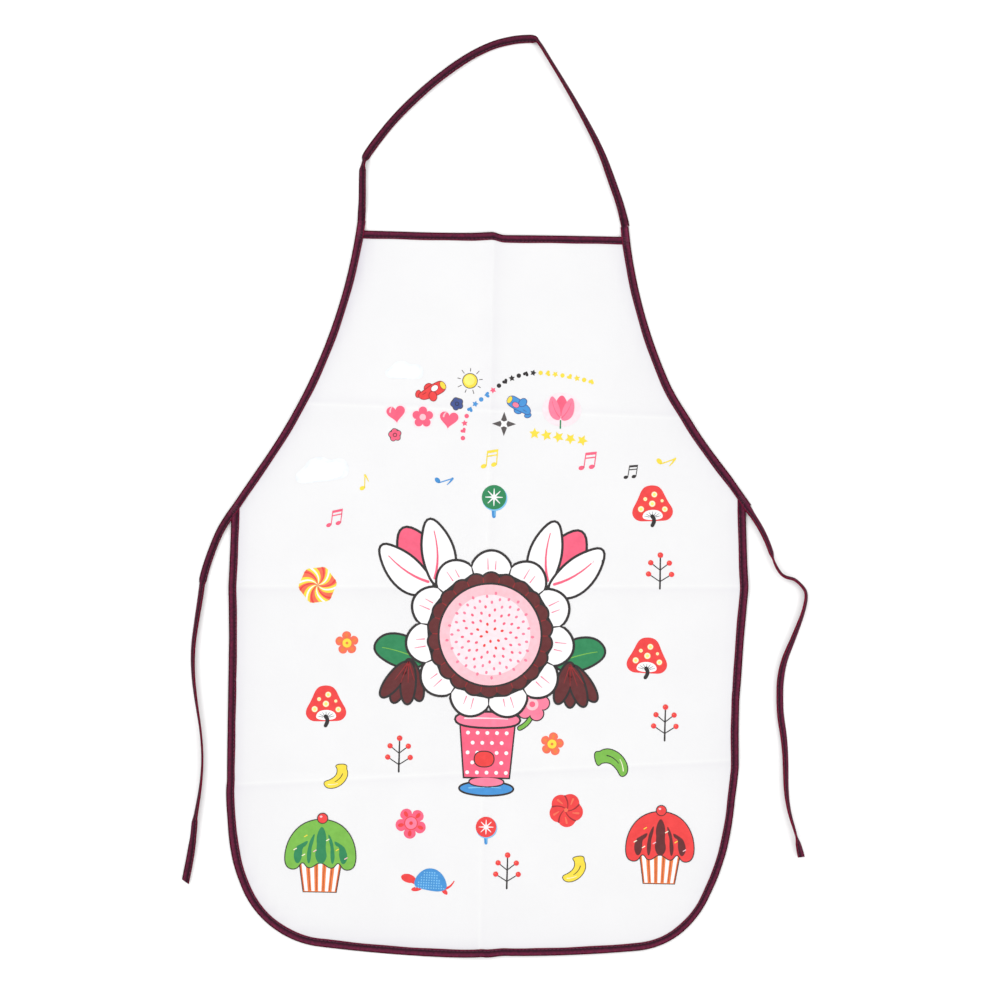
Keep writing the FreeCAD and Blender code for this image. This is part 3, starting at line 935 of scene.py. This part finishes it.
def polar(reach_at, at=(0, 0), turn=0.0, count=96):
    """An outline whose reach from its middle depends on the direction."""
    angles = [2 * math.pi * i / count for i in range(count)]
    return [around(reach_at(a), a + math.radians(turn), at) for a in angles]


def petals(count, reach, depth, at=(0, 0), turn=90.0, power=0.7):
    """A blossom's outline, with that many round petals and notches of that depth between them."""
    def radius(angle):
        return reach * (1 - depth * (1 - abs(math.cos(count * angle / 2)) ** power))
    return polar(radius, at, turn, count * 14)


def star(points, reach, waist, at=(0, 0), turn=90.0):
    reaches = [reach, waist] * points
    return [around(r, math.radians(turn + 180 * i / points), at) for i, r in enumerate(reaches)]


def heart(size, at=(0, 0), turn=0.0):
    found = []
    for i in range(36):
        t = -2 * math.pi * i / 36
        x = 16 * math.sin(t) ** 3
        y = 13 * math.cos(t) - 5 * math.cos(2 * t) - 2 * math.cos(3 * t) - math.cos(4 * t)
        found.append((x * size / 17, y * size / 17))
    return turned(found, at, math.radians(turn))


def pulled(a, b, c, each):
    """Points along the curve from a towards c that b pulls outwards, a first and c left out."""
    shares = [j / each for j in range(each)]
    return [tuple(a * (1 - t) ** 2 + b * 2 * t * (1 - t) + c * t**2) for t in shares]


def rounded(corners, each=6):
    """A closed smooth curve that the corners pull outwards."""
    corners = [np.array(p, float) for p in corners]
    found = []
    for a, b, c in zip(corners[-1:] + corners, corners, corners[1:] + corners[:1]):
        found += pulled((a + b) / 2, b, (b + c) / 2, each)
    return found


def bent(points, each=6):
    """An open smooth line from the first point to the last, pulled by those between."""
    points = [np.array(p, float) for p in points]
    inner = points[1:-1]
    stops = [points[0]] + [(a + b) / 2 for a, b in zip(inner, inner[1:])] + [points[-1]]
    found = []
    for a, b, c in zip(stops, inner, stops[1:]):
        found += pulled(a, b, c, each)
    return (found or [tuple(points[0])]) + [tuple(points[-1])]


def stroke(points, width, end_width=None):
    """A pen line with round ends, which may grow thicker or thinner."""
    line = [Vector(p) for p in bent(points)]
    end_width = width if end_width is None else end_width
    left, right = [], []
    for i, p in enumerate(line):
        way = (line[min(i + 1, len(line) - 1)] - line[max(i - 1, 0)]).normalized()
        half = (width + (end_width - width) * i / (len(line) - 1)) / 2
        side = Vector((-way.y, way.x)) * half
        left.append(p + side)
        right.append(p - side)

    def cap(tip, before, half):
        way = (tip - before).normalized()
        side = Vector((-way.y, way.x))
        return [tip + (side * math.cos(a) + way * math.sin(a)) * half
                for a in (math.pi / 4, math.pi / 2, 3 * math.pi / 4)]

    start, end = cap(line[0], line[1], width / 2), cap(line[-1], line[-2], end_width / 2)
    return [tuple(p) for p in left + end + right[::-1] + start]


def grown(outline, by):
    """The outline moved outwards by that much."""
    points = [Vector(p) for p in outline]
    area = sum(a.x * b.y - b.x * a.y for a, b in zip(points, points[1:] + points[:1]))
    way = 1 if area > 0 else -1
    found = []
    for before, p, after in zip(points[-1:] + points, points, points[1:] + points[:1]):
        coming, going = p - before, after - p
        if min(coming.length, going.length) < 1e-9:
            continue
        along = coming.normalized() + going.normalized()
        if along.length > 1e-6:
            found.append(tuple(p + Vector((along.y, -along.x)).normalized() * way * by))
    return found


class Print:
    """Everything printed on the film. It gathers coats of ink, each an outline with its ink and its layer."""

    def __init__(self):
        self.coats = []
        self.place((0, 0))

    def place(self, at, turn=0.0, size=1.0, base=0):
        """What is drawn next stands at this place, turned and scaled, on top of that many layers."""
        self.at, self.turn, self.size, self.base = at, math.radians(turn), size, base
        return self

    def coat(self, outline, ink, layer=1):
        self.coats.append((turned(outline, self.at, self.turn, self.size), ink, layer + self.base))

    def edged(self, outline, ink, layer=1, pen=0.6, pen_ink="black"):
        """A filled shape with a pen line round it."""
        self.coat(grown(outline, pen), pen_ink, layer)
        self.coat(outline, ink, layer + 1)


# ---- small things
def draw_plane(p, body, window, edge):
    hull = [
        (-11, 0.5), (-9, -3), (-3, -4.2), (5, -4.6), (9.6, -3.6),
        (10.4, 0), (9.4, 3.8), (3, 4.2), (-5, 2.9), (-9.5, 2.4),
    ]
    p.edged(oval(3.2, 2.7, (-1.4, 3.4), 20), body, 1, 0.5, edge)
    p.edged(oval(2.6, 1.7, (-10.2, 2.6), 50), body, 1, 0.5, edge)
    p.edged(rounded(hull), body, 3, 0.5, edge)
    p.edged(oval(1.7, 3.0, (9.0, 0), 4), "yellow", 5, 0.4, edge)
    p.edged(oval(2.7, 2.0, (2.6, 0.9), 8), window, 5, 0.4, edge)
    p.edged(oval(2.7, 3.5, (-1.2, -3.9), -12), body, 5, 0.5, edge)
    p.coat(stroke([(-7.5, 0.6), (-4.5, 0.9)], 0.4), edge, 5)


def draw_sun(p):
    p.edged(oval(5.2), "yellow", 1, 0.6, "grey")
    p.coat(oval(3.9, 3.9, (-0.4, 0.5)), "pale_yellow", 3)
    for i in range(9):
        ray = [around(r, math.radians(8 + 40 * i)) for r in (7.2, 9.3 + 0.6 * (i % 2))]
        p.coat(stroke(ray, 0.55), "grey", 1)


def draw_small_flower(p, ink):
    p.edged(petals(5, 4.6, 0.34), ink, 1, 0.5, "grey")
    p.edged(oval(1.1), ink, 3, 0.5, "black")


def draw_note_pair(p, ink):
    for x, y in ((-4.6, -5.6), (3.0, -4.2)):
        p.coat(oval(2.2, 1.6, (x, y), 22), ink, 1)
        p.coat(stroke([(x + 1.9, y + 0.4), (x + 2.6, y + 11.0)], 0.8), ink, 1)
    p.coat([(-2.4, 3.9), (5.9, 5.4), (6.0, 7.4), (-2.3, 5.9)], ink, 2)
    p.coat([(-2.6, 1.2), (5.6, 2.7), (5.7, 3.7), (-2.5, 2.2)], ink, 2)


def draw_note(p, ink):
    p.coat(oval(2.1, 1.5, (-1.5, -4.6), 22), ink, 1)
    p.coat(stroke([(0.3, -4.2), (0.9, 5.2)], 0.75), ink, 1)
    p.coat(stroke([(0.9, 5.0), (2.6, 2.6), (3.4, 0.2)], 1.4, 0.5), ink, 2)


def draw_lolly(p, ink):
    p.coat(stroke([(0, -8.0), (0.2, -14.2)], 3.4, 2.8), "blue", 1)
    p.coat(stroke([(0.9, -9.5), (1.0, -13.6)], 0.7), "sky", 3)
    p.coat(oval(9.4, 9.4, (0.5, -0.8)), "sky", 2)
    p.coat(oval(9.1), ink, 3)
    for i in range(8):
        p.coat(stroke([(0, 0), around(6.3, math.pi * i / 4)], 1.5, 0.5), "white", 4 + i % 2)
    p.coat(oval(1.3), "white", 6)


def draw_mushroom(p):
    cap = [
        (0, 17.5), (7.6, 15.5), (12, 5), (18, -5), (13.6, -12.4), (4, -12.6),
        (-4, -12.6), (-13.6, -12.4), (-18, -5), (-12, 5), (-7.6, 15.5),
    ]
    gills = [(-9, -9.8), (-7, -4.6), (0, -2.8), (7, -4.6), (9, -9.8), (4, -11.6), (-4, -11.6)]
    spots = [
        (2, 9.4, 2.3), (0, 1.8, 2.5), (-9.4, -2.4, 2.4),
        (10.2, -3.0, 2.2), (-5.6, 5.8, 1.5), (8.2, 4.0, 1.2),
    ]
    p.coat(rounded(cap), "red", 1)
    p.coat(rounded(gills), "white", 2)
    for i in range(7):
        angle = math.radians(18 + 24 * i)
        ray = [(math.cos(angle) * r * 1.45, -9.8 + math.sin(angle) * r) for r in (2.0, 5.0)]
        p.coat(stroke(ray, 0.5, 0.25), "black", 3)
    for x, y, r in spots:
        p.coat(oval(r + 0.45, r + 0.45, (x, y)), "orange", 2)
        p.coat(oval(r, r, (x, y)), "cream", 3)
        p.coat(oval(r * 0.55, r * 0.55, (x, y)), "pale_yellow", 4)
    p.coat(stroke([(-0.4, -8.6), (2.6, -11.5), (-0.6, -16.2)], 3.4, 3.0), "black", 4)


def draw_candy(p):
    def edge(angle):
        return 14.2 * (1 - 0.10 * abs(math.sin(3 * angle)) ** 1.5)

    def arm(first, last):
        """A curved band, out to the edge at the first angle and back from it at the last."""
        found = []
        for side, steps in ((first, range(9)), (last, range(8, -1, -1))):
            for i in steps:
                angle = math.radians(side - 46 * (1 - i / 8))
                found.append(around(edge(angle) * i / 8, angle))
        return found[1:]

    p.coat(polar(edge), "yellow", 1)
    for i in range(6):
        p.coat(arm(60 * i, 60 * i + 28), "coral", 2)
        p.coat(arm(60 * i + 6, 60 * i + 13), "red", 3)
        p.coat(arm(60 * i + 40, 60 * i + 49), "white", 2)


def draw_blossom(p, reach, ink, heart_ink, ring_ink, turn=90):
    p.coat(petals(5, reach, 0.42, turn=turn, power=0.55), ink, 1)
    for i in range(5):
        spot = around(reach * 0.66, math.radians(turn + 72 * i))
        p.coat(oval(reach * 0.20, reach * 0.12, spot, turn + 72 * i), ring_ink, 2)
    p.coat(oval(reach * 0.44), ring_ink, 3)
    p.coat(oval(reach * 0.38), heart_ink, 4)
    p.coat(oval(reach * 0.12), ring_ink, 5)


def draw_pinwheel(p):
    p.coat(petals(5, 12.8, 0.16, turn=60, power=0.9), "red", 1)
    for i in range(5):
        angle = math.radians(60 + 36 + 72 * i)
        fold = [around(1.0, angle - 1.2), around(6.0, angle - 0.5), around(10.6, angle)]
        shine = [around(5.5, angle + 0.45), around(9.6, angle + 0.6)]
        p.coat(stroke(fold, 0.5, 1.1), "dark_red", 2)
        p.coat(stroke(shine, 0.8, 1.6), "coral", 2)
    p.coat(oval(1.5), "coral", 3)


def draw_berry(p, x, y, reach):
    p.coat(oval(reach, reach, (x, y)), "red", 3)
    p.coat(oval(0.6, 0.6, (x - 0.6, y + 0.6)), "coral", 4)


def draw_twig(p):
    p.coat(stroke([(0, -12.4), (0.2, 11.0)], 1.3, 1.0), "black", 1)
    for reach, low, high in ((8.4, -7.1, -1.6), (6.8, 1.4, 6.8)):
        for side in (1, -1):
            p.coat(stroke([(0, low), (reach * side, high)], 0.75), "black", 2)
            draw_berry(p, reach * side, high, 2.0)
    draw_berry(p, 0.2, 12.6, 2.1)


def draw_pod(p, ink):
    """A curved pod: a banana in yellow, a bean in green."""
    skin_line = [
        (-10.6, -5.2), (-8.4, -9.8), (-2, -10.4), (5, -7), (9.3, -1), (9.6, 4), (8.4, 6.2),
        (9.0, 9.4), (4.6, 10.2), (-0.9, 9.0), (1.4, 6.2), (0.6, 0.6), (-4.4, -3.4),
    ]
    p.edged(rounded(skin_line), ink, 1, 0.65)
    p.coat(stroke([(-0.8, -4.8), (4.0, -2.2), (5.4, 2.0)], 0.5, 0.7), "black", 3)
    p.coat(stroke([(-6.5, -7.2), (-2.5, -7.6), (1.5, -6.2)], 0.7, 0.4), "cream", 3)


def draw_turtle(p):
    shell = [(-11, -4.4), (-9, 3.4), (-3, 9.4), (5, 10), (12, 4.6), (15.2, -4.6), (9, -7.4), (0, -6.6)]
    p.coat(oval(5.6, 3.2, (-14.6, 1.4), -12), "red", 1)
    p.coat(stroke([(-12, 0), (-8.5, -1.2)], 3.6), "red", 2)
    p.coat(oval(4.0, 1.7, (-8.2, -6.0), 12), "red", 1)
    p.coat(oval(3.2, 1.6, (12.6, -6.6), -45), "red", 1)
    p.coat(stroke([(13.5, -4.4), (17.2, -3.4), (19.4, 1.2)], 2.0, 0.8), "red", 1)
    p.coat(rounded(shell), "blue", 3)
    for row in range(7):
        up = 1.9 * row
        x = -8.8 + 0.52 * up + (row % 2) * 0.95
        while x < 12.6 - 0.62 * up:
            p.coat(oval(0.55, 0.55, (x, up - 4.8)), "sky", 4)
            x += 1.9


def draw_cupcake(p, top, stripe):
    p.edged([(-15.0, -4), (15.0, -4), (11.4, -27), (-11.4, -27)], "orange", 1, 0.7)
    for i in range(5):
        x = -12.0 + 6.0 * i
        band = [(x - 1.5, -4.2), (x + 1.5, -4.2), (x * 0.78 + 1.1, -26.6), (x * 0.78 - 1.1, -26.6)]
        p.coat(band, "white", 3)
    for i in range(6):
        x = -14.4 + 5.76 * i
        p.coat(stroke([(x, -6), (x * 0.78, -26)], 0.35), "dark_red", 4)
    dome = [
        (-25, -9), (-24, 8), (-15, 21), (0, 25.5), (15, 21), (24, 8), (25, -9),
        (17, -12), (12.5, -4.5), (8, -11.5), (0, -4.5), (-8, -11.5), (-12.5, -4.5), (-17, -12),
    ]
    p.edged(rounded(dome), top, 5, 0.7)
    for x, wide in ((-16.0, 4.6), (-8.2, 2.4), (0.2, 6.4), (8.4, 2.4), (16.0, 4.6)):
        high = 21.5 - abs(x) * 0.72
        band = [
            (x * 0.55, high), (x * 0.8 + wide * 0.6, high * 0.6), (x * 0.95 + wide * 0.45, 4),
            (x + wide * 0.7, -2), (x + wide * 0.3, -7), (x - wide * 0.3, -7), (x - wide * 0.7, -1),
            (x * 0.95 - wide * 0.45, 5), (x * 0.8 - wide * 0.6, high * 0.6),
        ]
        p.coat(rounded(band), stripe, 7)
    sprinkles = [(-18, 3), (-11, 12.5), (-4.2, 2), (4.6, 10), (11.6, 3), (17.8, -3), (-12, -1)]
    for i, (x, y) in enumerate(sprinkles):
        tick = [(x - 0.9, y - 0.5), (x + 0.9, y + 0.6)]
        p.coat(stroke(tick, 0.7), ("cream", "yellow", "pale_pink")[i % 3], 8)
    p.edged(oval(3.4, 3.4, (0.4, 25.4)), "red", 8, 0.6)
    p.coat(oval(1.0, 0.8, (-0.7, 26.6)), "pale_pink", 10)


def draw_cloud(p):
    puffs = [
        (-15, -5), (-17, 1), (-11, 4.5), (-8, 9), (0, 10), (4, 6.5),
        (12, 7.5), (16, 2), (14.5, -5), (6, -5.6), (-4, -5.2),
    ]
    p.coat(rounded(puffs), "cloud", 1)
    p.coat(rounded([(x * 0.82 - 0.5, y * 0.78 - 0.2) for x, y in puffs]), "white", 2)


def draw_tulip(p, outer, inner, pen=0.6, line="black"):
    """A tulip's bloom, 20 wide and 22 high, its foot at the origin."""
    back = [(-5, 4), (-6.5, 14), (0, 24.5), (6.5, 14), (5, 4)]
    leaf = [(0, -0.6), (8.5, 1.5), (12, 11), (9.5, 22.5), (3.2, 15.5), (0.4, 8)]
    vein = [(1.2, 3), (6.2, 8), (8.4, 16.5)]
    p.edged(rounded(back), inner, 1, pen, line)
    for side, layer in ((-1, 3), (1, 5)):
        p.edged(rounded([(x * side, y) for x, y in leaf]), outer, layer, pen, line)
        p.coat(stroke([(x * side, y) for x, y in vein], 0.9, 0.3), inner, layer + 2)


# ---- the potted flower in the middle
def draw_side_flowers(p, side):
    """A white tulip, a green leaf and a hanging brown bud on one side of the bloom."""
    middle = (3.5, 0)
    p.place(middle)
    p.edged(stroke([(side * 30, -14), (side * 42, 2)], 5.0), "leaf", 1, 1.4)
    draw_tulip(p.place((middle[0] + side * 41, 1), -side * 30, 2.3), "white", "pink", 0.8)
    p.place(middle)
    leaf = [(46, -52), (58, -36), (78, -33), (88, -45), (74, -56), (56, -60)]
    p.edged(rounded([(side * x, y) for x, y in leaf]), "green", 1, 1.7)
    p.coat(stroke([(side * 50, -53), (side * 66, -46), (side * 80, -44)], 0.9, 0.5), "leaf", 3)
    root = (side * 60, -54)
    for i, turn in enumerate((34, 12, -12, -34)):
        tip = around(26, math.radians(turn - 90), (side * 66, -60))
        half_way = ((tip[0] + root[0]) / 2, (tip[1] + root[1]) / 2)
        way = math.degrees(math.atan2(tip[1] - root[1], tip[0] - root[0]))
        p.edged(oval(15.5, 5.0, half_way, way), "brown", 3 + 2 * (i % 2), 1.6)
        p.coat(stroke([root, half_way], 0.9, 0.4), "dark_red", 7)


def draw_bloom(p):
    """White petals, a ruffled brown ring and a pink heart full of seeds."""
    p.place((3.5, -33))
    p.edged(petals(11, 62, 0.17, power=0.75), "white", 8, 1.9)
    for i in range(11):
        between, along = (math.radians(90 + 360 * (i + shift) / 11) for shift in (0.5, 0))
        p.coat(stroke([around(r, between) for r in (47, 54)], 1.4, 0.5), "black", 10)
        for shift, low, high in ((-0.06, 49, 55), (0.05, 49, 57)):
            p.coat(stroke([around(r, along + shift) for r in (low, high)], 0.9, 0.4), "rose", 10)
    p.edged(petals(22, 46, 0.07), "brown", 10, 1.5)
    for i in range(22):
        angle = math.radians(90 + 360 * (i + 0.5) / 22)
        p.coat(stroke([around(r, angle) for r in (39.5, 43)], 0.9, 0.4), "dark_red", 12)
    p.edged(oval(37.5), "pale_pink", 12, 1.5)
    p.coat(oval(30.0), "blush", 14)
    for i in range(1, 95):
        r = SEED_GAP * math.sqrt(i)
        angle = i * GOLDEN_ANGLE
        if r < 35:
            ink = "rose" if r > 22 else ("pink" if r > 11 else "red")
            p.coat(oval(1.25, 0.95, around(r, angle), math.degrees(angle)), ink, 15)


def draw_pot(p):
    """A dotted pink pot on a foot and a blue plate."""
    p.place((3.0, -114))
    p.edged(stroke([(-2, 22), (0, 14)], 5.0), "leaf", 1, 0.9)
    p.edged([(-20, 15), (20, 15), (16.5, -25), (-16.5, -25)], "pink", 3, 1.6)
    for row in range(5):
        y = 8 - 7.4 * row
        for i in range(5):
            x = -14.4 + 7.2 * i + (3.6 if row % 2 else 0)
            if abs(x) < 17.6 + y * 0.09:
                p.coat(oval(1.45, 1.45, (x, y)), "white", 5)
    p.edged(rounded([(-24, 23), (24, 23), (23, 12.5), (-23, 12.5)]), "rose", 5, 1.6)
    p.coat(stroke([(-17, 18.6), (0, 19.4), (15, 18.6)], 1.2, 0.6), "blush", 7)
    p.edged(rounded([(-9, -6), (5, -6), (5, -17), (-9, -17)]), "red", 6, 0.8)
    p.edged(oval(19.5, 4.6, (0, -33.5)), "blue", 1, 1.4)
    p.edged(oval(12.5, 3.2, (0, -28.5)), "rose", 3, 1.0)
    p.coat(stroke([(-13, -33.2), (0, -31.9), (11, -32.8)], 1.0, 0.5), "sky", 3)


def draw_pink_bud(p):
    p.place((36, -84))
    p.edged(stroke([(-9, -18), (-1, -14), (0, -6)], 2.6), "leaf", 1, 0.8)
    p.edged(petals(5, 12.5, 0.36, turn=80), "rose", 3, 0.9)
    p.coat(oval(4.6), "pale_pink", 5)
    p.coat(oval(2.2), "pink", 6)


# ---- the whole print
def draw_garland(p):
    """Small beads on a rising arc."""
    line = bent([(-19.8, 113), (-19.5, 132), (-3, 145), (14, 159), (40, 165), (76, 157)], 24)
    total = np.concatenate([[0], np.cumsum([math.dist(a, b) for a, b in zip(line, line[1:])])])
    xs, ys = zip(*line)
    inks = ["pink"] * 4 + ["blue"] * 4 + ["pink"] + ["black"] * 6 + ["yellow"] * 8
    for i, ink in enumerate(inks):
        reach = total[-1] * i / (len(inks) - 1)
        p.place((np.interp(reach, total, xs), np.interp(reach, total, ys)), 40 * i)
        p.coat((oval(1.7), heart(2.3), star(5, 2.5, 1.3))[i % 3], ink, 1)


def draw_bib_row(p):
    """Hearts and a blossom, a four-pointed star, a row of stars, and a tulip on a soft blush."""
    for x, y, turn in ((-70, 130.5, 8), (-30.5, 127, -6)):
        p.place((x, y), turn)
        p.coat(heart(8.6), "blush", 1)
        p.coat(heart(7.4), "pink", 2)
        p.coat(stroke([(-4.2, 1.4), (-3.9, 3.9), (-2.2, 5.0)], 1.3, 0.6), "pale_pink", 3)
    p.place((-50, 128))
    p.coat(petals(5, 9.0, 0.34), "blush", 1)
    p.coat(petals(5, 7.9, 0.36), "pink", 2)
    p.coat(oval(2.4), "pale_pink", 3)
    p.place((10.6, 124.2))
    p.coat(star(4, 9.0, 3.4), "grey", 1)
    p.coat(star(4, 4.2, 1.7, turn=45), "white", 2)
    for i in range(5):
        p.place((33.5 + 8.9 * i, 117.5 - 1.1 * i), 12 * i)
        p.coat(star(5, 4.3, 2.1), "yellow", 1)
    p.place((53.6, 135.6))
    p.coat(oval(14.5, 12.5), "blush", 1)
    p.place((52.6, 127.5), -4, 0.86, 1)
    p.coat(stroke([(0, 0), (0.4, -6.5)], 1.3), "green", 1)
    draw_tulip(p, "rose", "pink", 0.0, "rose")


def draw_print():
    """Every place is in millimetres from the apron's middle line and its origin."""
    p = Print()
    draw_plane(p.place((-43.5, 147.7), 28), "red", "white", "dark_red")
    draw_plane(p.place((21.5, 137.9), 148, 0.92), "blue", "rose", "navy")
    draw_sun(p.place((-15.4, 155.7)))
    draw_small_flower(p.place((-24.7, 138.4), 20), "navy")
    draw_small_flower(p.place((-70.4, 114.3), 10), "pink")
    draw_bib_row(p)
    draw_garland(p)
    draw_cloud(p.place((-64, 161), 0, 0.9))
    draw_cloud(p.place((-123.5, 87), 4, 1.25))
    for at, turn, size, ink in (
        ((0.7, 98.0), 0, 1.0, "yellow"), ((73.7, 98.0), -3, 1.0, "pink"),
        ((105.9, 90.5), -4, 0.78, "black"), ((-113.8, 52.4), -2, 0.92, "pink"),
    ):
        draw_note_pair(p.place(at, turn, size), ink)
    draw_note(p.place((-92.7, 78.9), 4), "yellow")
    draw_note(p.place((-32.5, 81.6), -68, 1.15), "blue")
    draw_note(p.place((132.5, 99.2), -68, 1.2), "yellow")
    draw_lolly(p.place((4.3, 69.5)), "green")
    draw_lolly(p.place((3.5, -176), 0, 0.84), "red")
    for at, turn in (((122.1, 65.5), 3), ((120.7, -47.8), -2), ((-117.6, -88.5), 2)):
        draw_mushroom(p.place(at, turn, 0.90))
    draw_candy(p.place((-125.4, 1.5), 8))
    for at, turn in (((-102.9, -41.3), 4), ((51.3, -113.3), -10)):
        draw_blossom(p.place(at, turn), 8.8, "coral", "yellow", "orange")
    draw_blossom(p.place((-52.4, -174.3), 12), 11.6, "pink", "rose", "red", 108)
    draw_pinwheel(p.place((62.8, -162.2)))
    for at in ((128.3, 16.4), (135.2, -96.6), (-62.4, -123.9), (19.8, -209.3)):
        draw_twig(p.place(at))
    draw_pod(p.place((-109.0, -140.5), 0, 0.88), "yellow")
    draw_pod(p.place((69.7, -206.0), 6, 0.9), "yellow")
    draw_pod(p.place((95.6, -126.5), 100, 1.12), "leaf")
    draw_turtle(p.place((-38.9, -217.2), -2))
    draw_cupcake(p.place((-118.5, -198.5), 0, 1.04), "leaf", "green")
    draw_cupcake(p.place((133.8, -187.5), 0, 1.04), "red", "brown")
    for side in (-1, 1):
        draw_side_flowers(p, side)
    draw_bloom(p)
    draw_pot(p)
    draw_pink_bud(p)
    return p.coats


def make_print():
    """The ink lies on the film in thin coats and bends where the film does."""
    finishes = {name: ink_finish(name, colour) for name, colour in INKS.items()}
    order = list(finishes)
    top = FILM_MIDDLE + FILM / 2 + 0.00003
    shape = bmesh.new()
    for outline, ink, layer in draw_print():
        corners = [shape.verts.new((x / 1000, y / 1000, top + layer * COAT)) for x, y in outline]
        face = shape.faces.new(corners)
        face.material_index = order.index(ink)
        face.normal_update()
        if face.normal.z < 0:
            face.normal_flip()
    bmesh.ops.triangulate(shape, faces=shape.faces, ngon_method="EAR_CLIP")
    cut_to_grid(shape)
    for zone, (low, high, bodies, crease, way) in ZONES.items():
        piece = flat_piece("print_" + zone, shape, low, high, finishes.values())
        sheet_solid(piece, INK_FILM)
        smooth(lay(piece), 30)
        bend_at(piece)
    shape.free()


# ------------------------------------------------------------------ floor, light and camera
def make_studio():
    bpy.ops.mesh.primitive_plane_add(size=6.0, location=(0, 0, -0.0001))
    floor = bpy.context.object
    floor.name = "floor"
    finish = Finish("pale_floor")
    finish.surface((0.93, 0.93, 0.93, 1), 0.9, 0.0)
    floor.data.materials.append(finish.material)
    world = bpy.data.worlds.new("studio")
    bpy.context.scene.world = world
    world.use_nodes = True
    sky = world.node_tree.nodes["Background"]
    sky.inputs["Color"].default_value = (1, 1, 1, 1)
    sky.inputs["Strength"].default_value = 1.09
    target = Vector((0, 0.05, 0))
    lamps = [("key", (-1.3, 1.2, 2.6), 1.8, 24.0), ("fill", (1.8, -1.0, 2.4), 2.0, 14.0)]
    for name, place, size, energy in lamps:
        data = bpy.data.lights.new(name, "AREA")
        data.size = size
        data.energy = energy
        lamp = added(name, data)
        lamp.location = place
        lamp.rotation_euler = (target - Vector(place)).to_track_quat("-Z", "Y").to_euler()


def make_camera():
    """Looks straight down on the apron."""
    height, seen = 3.0, 0.7463
    data = bpy.data.cameras.new("camera")
    data.sensor_width = 36.0
    data.lens = data.sensor_width * height / seen
    data.clip_end = 20.0
    camera = added("camera", data)
    camera.location = (0.00954, 0.0668, height)
    camera.rotation_euler = (0, 0, math.radians(1.2))
    bpy.context.scene.camera = camera
    bpy.context.scene.view_settings.view_transform = "Standard"


make_camera()
make_studio()
make_neck_loop()
make_tie("left", LEFT_TIE_ROUTE, LEFT_TIE_LEAN, way=-1, cloth=LOOP_CLOTH,
         slant=0.0026)
make_tie("right", RIGHT_TIE_ROUTE, RIGHT_TIE_LEAN, way=1, cloth=TAPE_CLOTH,
         slant=-0.0008)
make_bib_tape()
make_arm_tapes()
make_skirt_tapes()
make_tacks()
make_film()
make_print()
